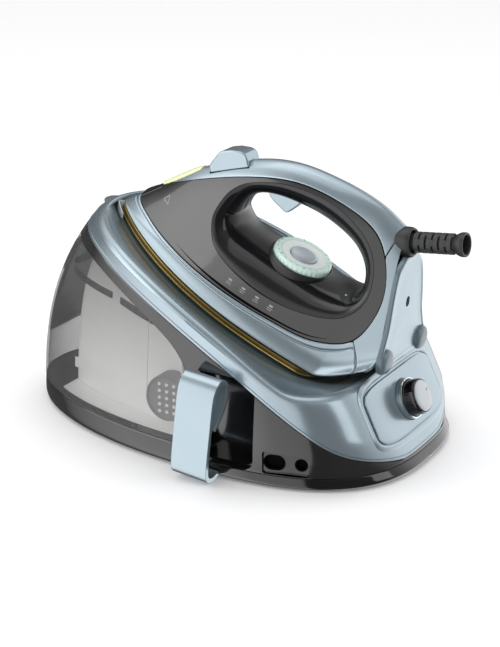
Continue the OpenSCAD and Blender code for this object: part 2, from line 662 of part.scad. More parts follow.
lean = 20.7;
heel_foot = [284.6, 36.4];
function heel_p(q) = 279.4 - (q - 34.4) * tan(lean);
heel_edge = [[267.5, 28], [heel_p(42), 42], [heel_p(64), 64], [heel_p(92), 92], [heel_p(116), 116],
    [heel_p(136), 136]];
module rear_cover() {
    n = 14;
    edge = function (f) f < 0.72 ? panel_at(7.95 - 2.3 * f / 0.72)
        : let (g = (f - 0.72) / 0.28, lo = upper_edge(238) + 0.3, hi = q_top(238) - 0.01)
            [238, mix(lo, hi, 1 - (1 - g) * (1 - g))];
    outer = [for (i = [-n:n]) let (f = 1 - abs(i) / n, s = i < 0 ? 1 : (i > 0 ? -1 : 0),
            a = edge(f), b = cr_at(heel_edge, f * 5, false), d = unit(b - a))
        [for (j = [0:3]) skin_pt(mix(a + 0.7 * d, b, j / 3), s)]];
    bare = inset(outer, skin_t, false);
    inner = [for (i = [0:2 * n]) [for (j = [0:3])
        j == 0 ? side_in(outer[i][j], bare[i][j], skin_t) : bare[i][j]]];
    color(blue) put() difference() {
        skin(outer, inner, false);
        cord_hole();
    }
}

// Yellow-green lit window on the nose ridge
module nose_window() {
    n = 8;
    grid = function (o) [for (i = [0:n]) let (p = mix(30, 57, i / n), hi = q_top(p), lo = hi - 2.2)
        [for (j = [0:6]) let (
                f = abs(j - 3) / 3, q = lo + (hi - lo) * (1 - f * f), s = sign(j - 3),
                y = body_w(p, min(q, hi - 0.01)))
            rest_pt(p - o * 0.75, s * (y + o), q + o * 0.65)]];
    color([0.85, 0.9, 0.5]) put() skin(grid(1.3), grid(0.35), false);
}

// ---- iron base ----
module soleplate() {
    color([0.62, 0.5, 0.3]) put() rest() difference() {
        linear_extrude(sole_t) polygon(sole_plan(0, 0.6, sole_len));
        for (i = [0:6], s = [-1, 1]) let (p = 40 + 26 * i)
            translate([p, s * (sole_w(p) - 13), -1]) cylinder(h = sole_t + 2, r = 1.6, $fn = 20);
        for (i = [0:3]) translate([60 + 16 * i, 0, -1]) cylinder(h = sole_t + 2, r = 1.6, $fn = 20);
    }
}
module steam_chamber() {
    color([0.7, 0.7, 0.7]) put() rest() difference() {
        translate([0, 0, sole_t + 0.1]) linear_extrude(12) polygon(sole_plan(-19, 30, 232));
        translate([0, 0, sole_t - 1]) linear_extrude(6) polygon(sole_plan(-26, 60, 215));
    }
}
module sole_heater() {
    color([0.3, 0.3, 0.32]) put() rest() translate([130, 0, sole_t + 15.6]) difference() {
        union() {
            rotate([0, 0, 90]) rotate_extrude(angle = 180, $fn = 48)
                translate([26, 0]) circle(r = 3.3, $fn = 24);
            for (s = [-1, 1]) translate([0, s * 26, 0]) rotate([0, 90, 0])
                cylinder(h = 70, r = 3.3, $fn = 24);
        }
    }
}
module heat_shield() {
    color(black) put() rest() translate([0, 0, sole_t + 0.1]) linear_extrude(1.7) difference() {
        polygon(sole_plan(-1.6, 2.5, sole_len - 2));
        polygon(sole_plan(-10, 22, 236));
    }
}

// ---- temperature control ----
module dial_housing() {
    color([0.2, 0.2, 0.21]) put() rest() translate(dial_at) difference() {
        translate([0, 0, 44]) cylinder(h = 17, r = 28, $fn = 72);
        translate([0, 0, 50]) cylinder(h = 20, r = dial_r + 0.4, $fn = 72);
        cylinder(h = 60, r = shaft_r + run_gap, $fn = 32);
    }
}
module temperature_dial() {
    color([0.75, 0.92, 0.85, 0.8]) put() rest() translate(dial_at) difference() {
        union() {
            translate([0, 0, 50.5]) cylinder(h = 13, r = dial_r, $fn = 72);
            translate([0, 0, 63.5]) cylinder(h = 1.8, r1 = dial_r, r2 = dial_r - 1.8, $fn = 72);
        }
        translate([0, 0, 62]) cylinder(h = 9, r = dial_r - 14.5, $fn = 72);
        translate([0, 0, 63.4]) cylinder(h = 2, r1 = dial_r - 14.5, r2 = dial_r - 5, $fn = 72);
        translate([0, 0, 40]) cylinder(h = 17, r = shaft_r + 0.02, $fn = 32);
    }
}
module dial_cap() {
    color([0.7, 0.76, 0.8]) put() rest() translate(dial_at) translate([0, 0, 62.05]) union() {
        cylinder(h = 2.6, r = dial_r - 14.55, $fn = 72);
        translate([0, 0, 2.6]) cylinder(h = 0.8, r1 = dial_r - 14.55, r2 = dial_r - 16, $fn = 72);
    }
}
module thermostat() {
    color([0.85, 0.85, 0.8]) put() rest() translate(dial_at) difference() {
        translate([0, 0, sole_t + 12.2]) cylinder(h = 15, r = 12, $fn = 48);
        translate([0, 0, sole_t + 17]) cylinder(h = 30, r = shaft_r + run_gap, $fn = 32);
    }
}
module dial_shaft() {
    color("silver") put() rest() translate(dial_at) translate([0, 0, sole_t + 17.5])
        cylinder(h = 32, r = shaft_r, $fn = 32);
}

// ---- handle mechanism ----
module side_cut(w) {
    rest() rotate([90, 0, 0]) translate([0, 0, -w / 2]) linear_extrude(w) children();
}
trigger_pin_at = [124, 106];
module steam_trigger() {
    color(blue) put() difference() {
        union() {
            side_cut(10) polygon([[120.5, 104], [120.6, 96], [124, 93.5], [131, 91.8], [139.5, 90.4],
                [142.6, 91], [145, 95], [149, 102], [149, 109], [140, 110.3], [124, 110]]);
            side_cut(10) translate(trigger_pin_at) circle(r = 4, $fn = 32);
        }
        side_cut(30) translate(trigger_pin_at) circle(r = 1.5 + run_gap, $fn = 24);
    }
}
module trigger_pin() {
    color("silver") put() side_cut(19.6) translate(trigger_pin_at) circle(r = 1.5, $fn = 24);
}
// Helical spring of n turns standing on z = 0
module coil(r, wire, n, h) {
    steps = 14 * n;
    ring = function (i) let (
            a = i * 360 / 14, c = [r * cos(a), r * sin(a), wire + (h - 2 * wire) * i / steps])
        [for (k = [0:5]) c + wire * (cos(60 * k) * [cos(a), sin(a), 0] + sin(60 * k) * [0, 0, 1])];
    loft([for (i = [0:steps]) ring(i)]);
}
module trigger_spring() {
    color("silver") put() rest() translate([130.5, 0, 111.8]) coil(2.2, 0.4, 3, 8);
}
module microswitch() {
    color([0.75, 0.2, 0.15]) put() rest() difference() {
        translate([135, -3.2, 113.6]) cube([17, 6.4, 9]);
        for (x = [139, 148]) translate([x, 10, 117]) rotate([90, 0, 0]) cylinder(h = 20, r = 1.1, $fn = 20);
    }
}
// Frame on the ridge under the boost button, local z square to the ridge
module ridge_frame() {
    rest() translate([78, 0, 98.6]) rotate([0, -39.5, 0]) children();
}
module boost_button() {
    color(blue) put() ridge_frame() rotate([90, 0, 0]) translate([0, 0, -10]) linear_extrude(20)
        polygon([[-17, -5], [-17, 1.5], [-14, 4], [-6, 10.5], [0, 12.2], [8, 11.6], [17, 9], [21, 6],
            [21.5, 3], [21.5, -5]]);
}
module button_spring() {
    color("silver") put() ridge_frame() translate([2, 0, -19]) coil(4, 0.5, 3, 10);
}

// ---- heel and cord ----
module heel_frame() {
    rest() translate([heel_foot[0], 0, heel_foot[1]]) rotate([0, 90 - lean, 0]) children();
}
heel_half = [[-1, 26], [3, 36], [-8, 42.5], [-22, 37], [-36, 32], [-60, 28], [-80, 22], [-90, 10]];
function heel_side(s) = [for (i = [0:28]) let (c = cr_at(heel_half, i / 4, false)) [c[0], s * c[1]]];
module heel_plate() {
    side = heel_side(1);
    far = heel_side(-1);
    color(blue) put() heel_frame() difference() {
        union() {
            translate([0, 0, -4.6]) linear_extrude(4.6) polygon(concat(side, [for (i = [28:-1:0]) far[i]]));
            for (s = [-1, 1]) translate([-8, s * 33, 0]) cylinder(h = 3.4, r1 = 8, r2 = 6.5, $fn = 40);
        }
        translate([-50, 0, -8]) cylinder(h = 20, r = 2.1, $fn = 24);
        translate([-50, 0, -2]) cylinder(h = 20, r = 4.2, $fn = 32);
        rotate([0, lean - 90, 0]) translate([-heel_foot[0], 0, -heel_foot[1]]) rotate([0, -incline, 0])
            translate(-iron_at) cord_hole();
    }
}
module heel_screw() {
    color("silver") put() heel_frame() translate([-50, 0, -10]) union() {
        cylinder(h = 9, r = 2, $fn = 24);
        translate([0, 0, 8.1]) cylinder(h = 1.6, r = 4, $fn = 32);
    }
}
module cord_axis() {
    translate(cord_at) rotate([0, cord_dip, 0]) children();
}
module cord_hole() {
    cord_axis() translate([0, 0, -40]) cylinder(h = 60, r = 12.5, $fn = 48);
}
module cord_holder() {
    color(dark) put() cord_axis() difference() {
        union() {
            translate([0, 0, -13]) cylinder(h = 19, r = 12.2, $fn = 64);
            translate([0, 0, 6]) cylinder(h = 3, r1 = 12.2, r2 = 11.3, $fn = 64);
        }
        sphere(r = 9 + run_gap, $fn = 64);
        translate([0, 0, 4.2]) cylinder(h = 5, r1 = 8.05, r2 = 10.4, $fn = 64);
        translate([0, 0, -20]) cylinder(h = 15, r1 = 9.5, r2 = 7.2, $fn = 48);
    }
}
module cord_sleeve() {
    color(black) put() cord_axis() difference() {
        union() {
            sphere(r = 9, $fn = 64);
            translate([0, 0, 2]) cylinder(h = 50, r = sleeve_r - 1.6, $fn = 48);
            for (i = [0:5]) translate([0, 0, 12 + 5.6 * i]) cylinder(h = 3.6, r = sleeve_r, $fn = 48);
            translate([0, 0, 44]) cylinder(h = 6, r1 = sleeve_r - 1.6, r2 = mouth_r, $fn = 48);
            translate([0, 0, 50]) cylinder(h = sleeve_len - 50, r = mouth_r, $fn = 48);
        }
        translate([0, 0, -20]) cylinder(h = 90, r = hose_r + 0.02, $fn = 40);
        translate([0, 0, sleeve_len - 8]) cylinder(h = 10, r = 7.5, $fn = 48);
    }
}
module steam_cord() {
    color([0.2, 0.2, 0.22]) put() cord_axis() translate([0, 0, -10]) difference() {
        cylinder(h = 42, r = hose_r, $fn = 40);
        translate([0, 0, -1]) cylinder(h = 50, r = 2, $fn = 24);
    }
}

base_tray();
side_shell();
deck_cover();
rest_plate();
nose_stop();
control_panel();
knob_collar();
knob_ring();
steam_knob();
knob_cap();
knob_shaft();
control_pot();
hook_bay();
hose_hook();
outlet_plate();
water_tank();
tank_lid();
tank_valve();
tank_socket();
scale_filter();
boiler();
boiler_cradle();
boiler_heater();
water_pump();
steam_valve();
circuit_board();
water_pipe();
steam_pipe();
rubber_feet();
base_screws();
soleplate();
steam_chamber();
sole_heater();
heat_shield();
lower_skirt();
panel_near();
panel_far();
handle_grip();
top_cover();
rear_cover();
nose_window();
dial_housing();
temperature_dial();
dial_cap();
thermostat();
dial_shaft();
steam_trigger();
trigger_pin();
trigger_spring();
microswitch();
boost_button();
button_spring();
heel_plate();
heel_screw();
cord_holder();
cord_sleeve();
steam_cord();
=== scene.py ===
import json
import math

import bmesh
import bpy
import numpy as np
from mathutils import Matrix, Vector


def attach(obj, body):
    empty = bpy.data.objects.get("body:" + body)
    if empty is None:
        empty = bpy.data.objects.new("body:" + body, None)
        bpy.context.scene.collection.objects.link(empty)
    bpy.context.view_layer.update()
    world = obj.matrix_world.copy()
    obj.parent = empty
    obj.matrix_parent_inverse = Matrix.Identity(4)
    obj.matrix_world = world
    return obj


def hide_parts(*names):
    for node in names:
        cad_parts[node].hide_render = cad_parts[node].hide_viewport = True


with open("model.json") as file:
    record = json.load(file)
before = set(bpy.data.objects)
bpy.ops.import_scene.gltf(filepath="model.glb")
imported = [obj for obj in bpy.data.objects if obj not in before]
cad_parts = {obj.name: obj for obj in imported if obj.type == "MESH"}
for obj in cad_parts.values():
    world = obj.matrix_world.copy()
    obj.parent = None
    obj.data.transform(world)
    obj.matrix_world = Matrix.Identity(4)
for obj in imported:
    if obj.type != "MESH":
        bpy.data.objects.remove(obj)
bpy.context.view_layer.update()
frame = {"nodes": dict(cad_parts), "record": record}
record = frame["record"]
NODES = frame["nodes"]
BODY = {n: b for b, ns in record["behaviour"]["bodies"].items() for n in ns}
scene = bpy.context.scene
MM = 0.001
# Shapes are worked out about the middle of the base and then moved, so the whole footprint is centred on the origin
OFFSET = np.array([-11.8864, 11.3137, 0.0])

# ------------------------------------------------------------------ materials


def shader(name, color, rough=0.25, metal=0.0, coat=0.0, spec=0.5, grain=0.0, grain_size=0.6, ripple=0.0,
           vary=0.05, rough_vary=0.06, wear=0.0, wear_color=None, alpha=1.0, emission=0.0, subsurface=0.0, transmission=0.0,
           ior=1.5, brush=None, painted_shade_ramp=None):
    """Principled material with colour drift, roughness drift, moulding ripple, fine grain, edge wear and an optional
    painted shade ramp by height.
    """
    m = bpy.data.materials.new(name)
    m.use_nodes = True
    nt = m.node_tree
    b = nt.nodes["Principled BSDF"]
    new, link = nt.nodes.new, nt.links.new
    tc = new("ShaderNodeTexCoord")

    def noise(size_mm, detail=2.0, stretch=None):
        n = new("ShaderNodeTexNoise")
        n.inputs["Scale"].default_value = 1000.0 / size_mm
        n.inputs["Detail"].default_value = detail
        if stretch:
            mp = new("ShaderNodeMapping")
            mp.inputs["Scale"].default_value = stretch
            link(tc.outputs["Object"], mp.inputs["Vector"])
            link(mp.outputs["Vector"], n.inputs["Vector"])
        else:
            link(tc.outputs["Object"], n.inputs["Vector"])
        return n

    drift = noise(55.0, 3.0)
    mix = new("ShaderNodeMix")
    mix.data_type = "RGBA"
    c = np.array(color[:3])
    mix.inputs["A"].default_value = (*np.clip(c * (1 - vary), 0, 1), 1)
    mix.inputs["B"].default_value = (*np.clip(c * (1 + vary), 0, 1), 1)
    link(drift.outputs["Fac"], mix.inputs["Factor"])
    out = mix.outputs["Result"]
    if painted_shade_ramp:
        # painted shade ramp, darker towards the top = (height 0, height 1, tint at the top), in millimetres
        at, up = new("ShaderNodeSeparateXYZ"), new("ShaderNodeMapRange")
        up.inputs["From Min"].default_value, up.inputs["From Max"].default_value = painted_shade_ramp[0] * 0.001, painted_shade_ramp[1] * 0.001
        link(tc.outputs["Object"], at.inputs["Vector"])
        link(at.outputs["Z"], up.inputs["Value"])
        m3 = new("ShaderNodeMix")
        m3.data_type = "RGBA"
        m3.inputs["B"].default_value = (*(c * painted_shade_ramp[2]), 1)
        link(up.outputs["Result"], m3.inputs["Factor"])
        link(out, m3.inputs["A"])
        out = m3.outputs["Result"]
        if emission:
            link(out, b.inputs["Emission Color"])
    if wear:
        geo = new("ShaderNodeNewGeometry")
        rng = new("ShaderNodeMapRange")
        rng.inputs["From Min"].default_value = 0.53
        rng.inputs["From Max"].default_value = 0.62
        rng.inputs["To Max"].default_value = wear
        link(geo.outputs["Pointiness"], rng.inputs["Value"])
        m2 = new("ShaderNodeMix")
        m2.data_type = "RGBA"
        wc = wear_color or tuple(np.clip(c * 1.6 + 0.05, 0, 1))
        m2.inputs["B"].default_value = (*wc[:3], 1)
        link(rng.outputs["Result"], m2.inputs["Factor"])
        link(out, m2.inputs["A"])
        out = m2.outputs["Result"]
    link(out, b.inputs["Base Color"])
    rn = noise(9.0, 4.0, brush)
    rr = new("ShaderNodeMapRange")
    rr.inputs["To Min"].default_value = max(0.0, rough - rough_vary / 2)
    rr.inputs["To Max"].default_value = rough + rough_vary
    link(rn.outputs["Fac"], rr.inputs["Value"])
    link(rr.outputs["Result"], b.inputs["Roughness"])
    last = None
    for size, strength, dist in ((22.0, ripple, 0.0006), (grain_size, grain, 0.00008)):
        if strength:
            bump = new("ShaderNodeBump")
            bump.inputs["Strength"].default_value = strength
            bump.inputs["Distance"].default_value = dist
            n = noise(size, 2.0, brush if size < 5 else None)
            link(n.outputs["Fac"], bump.inputs["Height"])
            if last:
                link(last.outputs["Normal"], bump.inputs["Normal"])
            last = bump
    if last:
        link(last.outputs["Normal"], b.inputs["Normal"])
    b.inputs["Metallic"].default_value = metal
    b.inputs["Specular IOR Level"].default_value = spec
    b.inputs["IOR"].default_value = ior
    b.inputs["Coat Weight"].default_value = coat
    b.inputs["Coat Roughness"].default_value = 0.04
    b.inputs["Transmission Weight"].default_value = transmission
    b.inputs["Subsurface Weight"].default_value = subsurface
    b.inputs["Subsurface Radius"].default_value = (0.004, 0.004, 0.004)
    if emission:
        b.inputs["Emission Color"].default_value = (*c, 1)
        b.inputs["Emission Strength"].default_value = emission
    if alpha < 1.0:
        surf = nt.nodes["Material Output"].inputs["Surface"]
        mixs, tr = new("ShaderNodeMixShader"), new("ShaderNodeBsdfTransparent")
        tr.inputs["Color"].default_value = (0.95, 0.95, 0.945, 1)
        fr = new("ShaderNodeLayerWeight")
        fr.inputs["Blend"].default_value = 0.25
        mr = new("ShaderNodeMapRange")
        mr.inputs["To Min"].default_value = alpha
        mr.inputs["To Max"].default_value = min(1.0, alpha + 0.55)
        link(fr.outputs["Facing"], mr.inputs["Value"])
        link(mr.outputs["Result"], mixs.inputs["Fac"])
        link(tr.outputs["BSDF"], mixs.inputs[1])
        link(b.outputs["BSDF"], mixs.inputs[2])
        link(mixs.outputs["Shader"], surf)
    return m


M = {
    "blue": shader("pale_blue_shell", (0.355, 0.435, 0.48), 0.25, metal=0.74, coat=0.45, ripple=0.01, grain=0.015,
                   grain_size=0.35, vary=0.03, rough_vary=0.04),
    # darker copy of the blue shell: painted shade on the recess bowl, the heel plate's lower sides and its feet
    "blue_painted_shade": shader("blue_shell_painted_shade", (0.13, 0.175, 0.20), 0.30, metal=0.35, coat=0.3, ripple=0.02, grain=0.04,
                    grain_size=0.35, vary=0.04),
    "dark": shader("smoke_gloss_shell", (0.013, 0.013, 0.0135), 0.12, coat=0.7, spec=0.6, ripple=0.02, grain=0.01),
    "black": shader("black_gloss", (0.006, 0.006, 0.0065), 0.10, coat=0.8, spec=0.5, ripple=0.02, grain=0.01),
    "grip": shader("grip_black", (0.008, 0.008, 0.009), 0.12, coat=0.35, spec=0.35, ripple=0.02, grain=0.01),
    "hole": shader("socket_black", (0.003, 0.003, 0.003), 0.7, spec=0.05, grain=0.2),
    "soft": shader("black_satin", (0.02, 0.02, 0.021), 0.38, grain=0.4, grain_size=0.7, wear=0.2),
    "rest": shader("rest_satin", (0.035, 0.06, 0.07), 0.33, spec=0.5, coat=0.2, grain=0.25, grain_size=1.2),
    "tank": shader("smoke_tank", (0.12, 0.121, 0.123), 0.05, coat=0.3, spec=0.5, ripple=0.03, alpha=0.12),
    # dark tank material: on the bars inside the wall, and as painted shade on the sheet across the nose
    "tank_dark": shader("tank_dark_bars_and_painted_shade", (0.05, 0.05, 0.052), 0.2, coat=0.2, ripple=0.03),
    # pale liner that glows: painted light seen through the tank, with painted shade darker towards the top; the level
    # scale and filter dots use it too
    "liner": shader("tank_liner_painted_glow", (0.87, 0.866, 0.86), 0.4, ripple=0.05, grain=0.05, emission=0.30, painted_shade_ramp=(55, 150, 0.50)),
    "stop": shader("clear_stop", (0.86, 0.89, 0.9), 0.16, coat=0.4, ripple=0.15, alpha=0.55, subsurface=0.2),
    # two copies of one sole metal: the bright one paints the highlight on the rolled edge, the dark one the dark
    # reflection on the side
    "sole_metal_lit": shader("sole_metal_painted_highlight", (0.78, 0.55, 0.23), 0.24, metal=1.0, grain=0.12, grain_size=0.8, vary=0.12),
    "sole_metal_shaded": shader("sole_metal_painted_dark_reflection", (0.30, 0.20, 0.055), 0.27, metal=1.0, grain=0.15, grain_size=0.8, vary=0.15),
    "cast": shader("cast_aluminium", (0.56, 0.56, 0.57), 0.5, metal=1.0, grain=0.8, grain_size=1.5),
    "steel": shader("brushed_steel", (0.6, 0.6, 0.6), 0.3, metal=1.0, grain=0.25, grain_size=0.8, brush=(1, 12, 1)),
    "chrome": shader("chrome", (0.82, 0.83, 0.84), 0.08, metal=1.0, grain=0.03, rough_vary=0.04),
    "silver": shader("silver_paint", (0.45, 0.475, 0.49), 0.3, metal=0.55, coat=0.4, grain=0.25, grain_size=0.4),
    "cap": shader("grey_blue_cap", (0.47, 0.53, 0.57), 0.28, metal=0.3, coat=0.4, grain=0.15),
    "rubber": shader("black_rubber", (0.016, 0.016, 0.017), 0.42, grain=0.6, grain_size=0.9, wear=0.35,
                     wear_color=(0.10, 0.10, 0.10)),
    "mint": shader("mint_ring", (0.66, 0.85, 0.77), 0.18, coat=0.6, subsurface=0.3, ripple=0.05, grain=0.1),
    "face": shader("dial_face", (0.84, 0.88, 0.86), 0.3, coat=0.3, grain=0.1),
    "ink": shader("dial_ticks", (0.05, 0.30, 0.20), 0.35, grain=0.1),
    "mark": shader("pale_print", (0.40, 0.41, 0.41), 0.45, grain=0.2),
    "lit": shader("lit_window", (0.86, 0.88, 0.50), 0.2, coat=0.7, ripple=0.2, emission=0.10),
    "green": shader("pilot_lens", (0.10, 0.55, 0.35), 0.08, coat=1.0, emission=0.25),
    "brass": shader("brass", (0.68, 0.5, 0.24), 0.3, metal=1.0, grain=0.2),
    "board": shader("solder_resist", (0.02, 0.16, 0.06), 0.35, grain=0.3, grain_size=1.5),
    "white": shader("white_moulding", (0.75, 0.75, 0.72), 0.35, grain=0.2),
    "hose": shader("silicone_hose", (0.62, 0.62, 0.6), 0.3, coat=0.2, grain=0.1, subsurface=0.1),
    # filter grey with a faint glow: painted light
    "filter_glow": shader("filter_grey", (0.42, 0.42, 0.43), 0.45, grain=0.2, emission=0.05),
}

# ------------------------------------------------------------------ helpers


def arr(*v):
    return np.array(v, float)


def smooth(a, b, x):
    t = np.clip((x - a) / (b - a), 0, 1)
    return t * t * (3 - 2 * t)


def mix(a, b, f):
    return a + (b - a) * f


def powr(v, e):
    return np.sign(v) * np.abs(v) ** e


def unit(v):
    return v / np.maximum(np.linalg.norm(v, axis=-1, keepdims=True), 1e-9)


def cr(c, s, closed=False):
    """Points at s along the smooth curve through c."""
    c, s = np.asarray(c, float), np.asarray(s, float)
    n = len(c)
    i = np.floor(s).astype(int)
    f = (s - i)[..., None]
    g = (lambda j: c[j % n]) if closed else (lambda j: c[np.clip(j, 0, n - 1)])
    a, b, d, e = g(i - 1), g(i), g(i + 1), g(i + 2)
    return 0.5 * (2 * b + (d - a) * f + (2 * a - 5 * b + 4 * d - e) * f * f + (3 * b - a - 3 * d + e) * f**3)


def turn_y(deg):
    return np.array(Matrix.Rotation(math.radians(deg), 4, "Y"))


def turn_z(deg):
    return np.array(Matrix.Rotation(math.radians(deg), 4, "Z"))


def move(x, y, z):
    return np.array(Matrix.Translation((x, y, z)))


def through(m, p):
    p = np.asarray(p, float)
    return p @ m[:3, :3].T + m[:3, 3]


def grid_faces(nu, nv, wrap_u=False, wrap_v=False):
    u, v = np.meshgrid(np.arange(nu if wrap_u else nu - 1), np.arange(nv if wrap_v else nv - 1), indexing="ij")
    u, v = u.ravel(), v.ravel()
    u2, v2 = (u + 1) % nu, (v + 1) % nv
    return np.stack([u * nv + v, u2 * nv + v, u2 * nv + v2, u * nv + v2], -1)


def make(name, pts, faces, mat, flat=False):
    me = bpy.data.meshes.new(name)
    me.from_pydata(((np.asarray(pts, float).reshape(-1, 3) + OFFSET) * MM).tolist(), [], [tuple(int(i) for i in f) for f in faces])
    me.validate()
    me.materials.append(M[mat])
    me.polygons.foreach_set("use_smooth", [not flat] * len(me.polygons))
    o = bpy.data.objects.new(name, me)
    scene.collection.objects.link(o)
    return o


def thicken(o, t, offset=-1.0, even=True):
    m = o.modifiers.new("wall", "SOLIDIFY")
    m.thickness, m.offset, m.use_even_offset = t * MM, offset, even
    m.use_quality_normals = even
    return o


def soften(o, w=0.5, seg=3, angle=35):
    m = o.modifiers.new("edge", "BEVEL")
    m.width, m.segments, m.limit_method, m.angle_limit = w * MM, seg, "ANGLE", math.radians(angle)
    m.harden_normals = True
    return o


def bake(o):
    """Applies the modifiers of o."""
    dg = bpy.context.evaluated_depsgraph_get()
    me = bpy.data.meshes.new_from_object(o.evaluated_get(dg), depsgraph=dg)
    o.modifiers.clear()
    o.data = me
    return o


def cut(o, tool, how="DIFFERENCE"):
    """Exact boolean of o with tool, which is then deleted."""
    bpy.context.view_layer.update()
    m = o.modifiers.new("cut", "BOOLEAN")
    m.operation, m.solver, m.object = how, "EXACT", tool
    bake(o)
    bpy.data.objects.remove(tool)
    return o


def crease(o, angle=32):
    """Smooth shading with sharp edges above angle."""
    me = o.data
    bm = bmesh.new()
    bm.from_mesh(me)
    for e in bm.edges:
        e.smooth = not (len(e.link_faces) == 2 and e.calc_face_angle(0.0) > math.radians(angle))
    for f in bm.faces:
        f.smooth = True
    bm.to_mesh(me)
    bm.free()
    return o


def place(o, node, replace=True):
    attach(o, BODY[node])
    if replace:
        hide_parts(node)
    return o


def sheet(name, g, mat, t=2.4, wrap=False, edge=0.5):
    nu, nv = g.shape[:2]
    o = make(name, g, grid_faces(nu, nv, wrap), mat)
    thicken(o, t)
    if edge:
        soften(o, edge)
    return bake(o)


def ring_solid(name, profile, frame4, mat, n=96, edge=0.0):
    """Solid of revolution of a closed profile of (radius, height)."""
    p = np.array(profile, float)
    a = np.linspace(0, 2 * math.pi, n, endpoint=False)
    g = np.stack([np.outer(np.cos(a), p[:, 0]), np.outer(np.sin(a), p[:, 0]), np.tile(p[:, 1], (n, 1))], -1)
    o = make(name, through(frame4, g), grid_faces(n, len(p), True, True), mat)
    bm = bmesh.new()
    bm.from_mesh(o.data)
    bmesh.ops.remove_doubles(bm, verts=bm.verts, dist=1e-7)
    bmesh.ops.recalc_face_normals(bm, faces=bm.faces)
    bm.to_mesh(o.data)
    bm.free()
    crease(o, 30)
    if edge:
        soften(o, edge, 3, 30)
        bake(o)
    return o


def prism(name, outline, h0, h1, frame4, mat, edge=0.6, seg=3):
    """Straight prism of a closed 2-D outline, with rounded edges."""
    c = np.asarray(outline, float)
    n = len(c)
    pts = np.concatenate([np.c_[c, np.full(n, h0)], np.c_[c, np.full(n, h1)]])
    faces = [list(range(n))[::-1], list(range(n, 2 * n))]
    faces += [[i, (i + 1) % n, n + (i + 1) % n, n + i] for i in range(n)]
    o = make(name, through(frame4, pts), faces, mat)
    bm = bmesh.new()
    bm.from_mesh(o.data)
    bmesh.ops.recalc_face_normals(bm, faces=bm.faces)
    bm.to_mesh(o.data)
    bm.free()
    crease(o, 30)
    if edge:
        soften(o, edge, seg, 40)
        bake(o)
    return o


def join(objs, name):
    """One object of several, with their materials kept."""
    me = bpy.data.meshes.new(name)
    bm = bmesh.new()
    mats = []
    for o in objs:
        start = len(bm.faces)
        bm.from_mesh(o.data)
        bm.faces.ensure_lookup_table()
        index = []
        for m in o.data.materials:
            if m not in mats:
                mats.append(m)
            index.append(mats.index(m))
        for f in bm.faces[start:]:
            f.material_index = index[f.material_index]
    bm.to_mesh(me)
    bm.free()
    for m in mats:
        me.materials.append(m)
    for o in objs:
        bpy.data.objects.remove(o)
    out = bpy.data.objects.new(name, me)
    scene.collection.objects.link(out)
    return out


# ------------------------------------------------------------------ base surfaces (mm)


def nose_x(z):
    return -188 + 63 * (np.maximum(z, 0) / 181) ** 2.6


def heel_x(z):
    return 187 - 38 * (np.maximum(z - 6, 0) / 72) ** 0.9


def half_w(z):
    return 117 - 13 * (np.maximum(z, 0) / 180) ** 1.3


def wall(a, z, off=0.0):
    a, z, off = np.broadcast_arrays(np.asarray(a, float), z, off)
    c, s = np.cos(a), np.sin(a)
    e = 2 / (2.65 + 1.6 * smooth(8, 45, z))
    rear = c >= 0
    cc = np.abs(c)
    x = np.where(rear, 44 + (heel_x(z) - 44 + off) * cc**e, 44 + (44 - nose_x(z) + off) * c)
    y = np.where(rear, (half_w(z) + off) * powr(s, e), (half_w(z) + off) * s)
    return np.stack([x, y, z + 0 * x], -1)


def rim_low(x):
    return 168 - 0.05 * np.maximum(x + 130, 0) ** 1.4


def crest(x):
    d = rim_low(x) + 16.5 - 78
    return 78 + (np.sqrt(d * d + 36) + d) / 2


def meet(a, f, off=0.0):
    z = np.full(np.shape(a), 90.0)
    for _ in range(50):
        z = 0.5 * z + 0.5 * f(wall(a, z, off)[..., 0])
    return z


def plan_angles(n, z=45.0):
    """n angles that are evenly spaced along the wall's outline."""
    a = np.linspace(-math.pi, math.pi, 20001)
    p = wall(a, z)
    s = np.r_[0, np.cumsum(np.linalg.norm(np.diff(p, axis=0), axis=1))]
    return np.interp(np.linspace(0, s[-1], n, endpoint=False), s, a)


ANG = plan_angles(360)

INC = math.radians(25)
CI, SI = math.cos(INC), math.sin(INC)
REST = move(-115, 0, 173) @ turn_y(25)
KNOB = move(float(heel_x(50.0)), 0, 50) @ turn_y(66)
HEEL = REST @ move(284.6, 0, 36.4) @ turn_y(69.3)
RIDGE = REST @ move(78, 0, 98.6) @ turn_y(-39.5)
CORD = move(157, 0, 185.6) @ turn_y(84)
OUTLET = move(109.5, -107.4, 22.6) @ turn_z(15)
DIAL = REST @ move(170, 0, 0)


def rest(p, y, q):
    p, y, q = np.broadcast_arrays(p, y, q)
    return np.stack([-115 + p * CI + q * SI, y + 0.0 * p, 173 + q * CI - p * SI], -1)


def sole_w(p):
    p = np.asarray(p, float)
    return np.where(p < 165, 62 * (1 - (1 - np.clip(p, 0, 165) / 165) ** 2) ** 0.85, 62 - 0.0012 * (p - 165) ** 2)


def recess(a, off=0.0):
    c, s = np.cos(a), np.sin(a)
    front = c < 0
    p = np.where(front, 165 + (172 + off) * c, 165 + (88 + off) * np.abs(c) ** 0.6)
    y = np.where(front, (69 + off) * powr(s, 1.7), (69 + off) * powr(s, 0.75))
    return p, y


# Tank boundary on the side walls, as (x, z) from the tray up and along the rim to the nose
EDGE = arr([15, 8], [16, 24], [20, 40], [23.5, 55], [24.5, 66], [21.5, 79], [14.5, 93], [4, 104.5], [-8, 113], [-22, 121],
           [-38, 129], [-56, 137.5], [-82, 147.5], [-105, 153.5], [-130, 157], [-160, 158], [-215, 158.5])


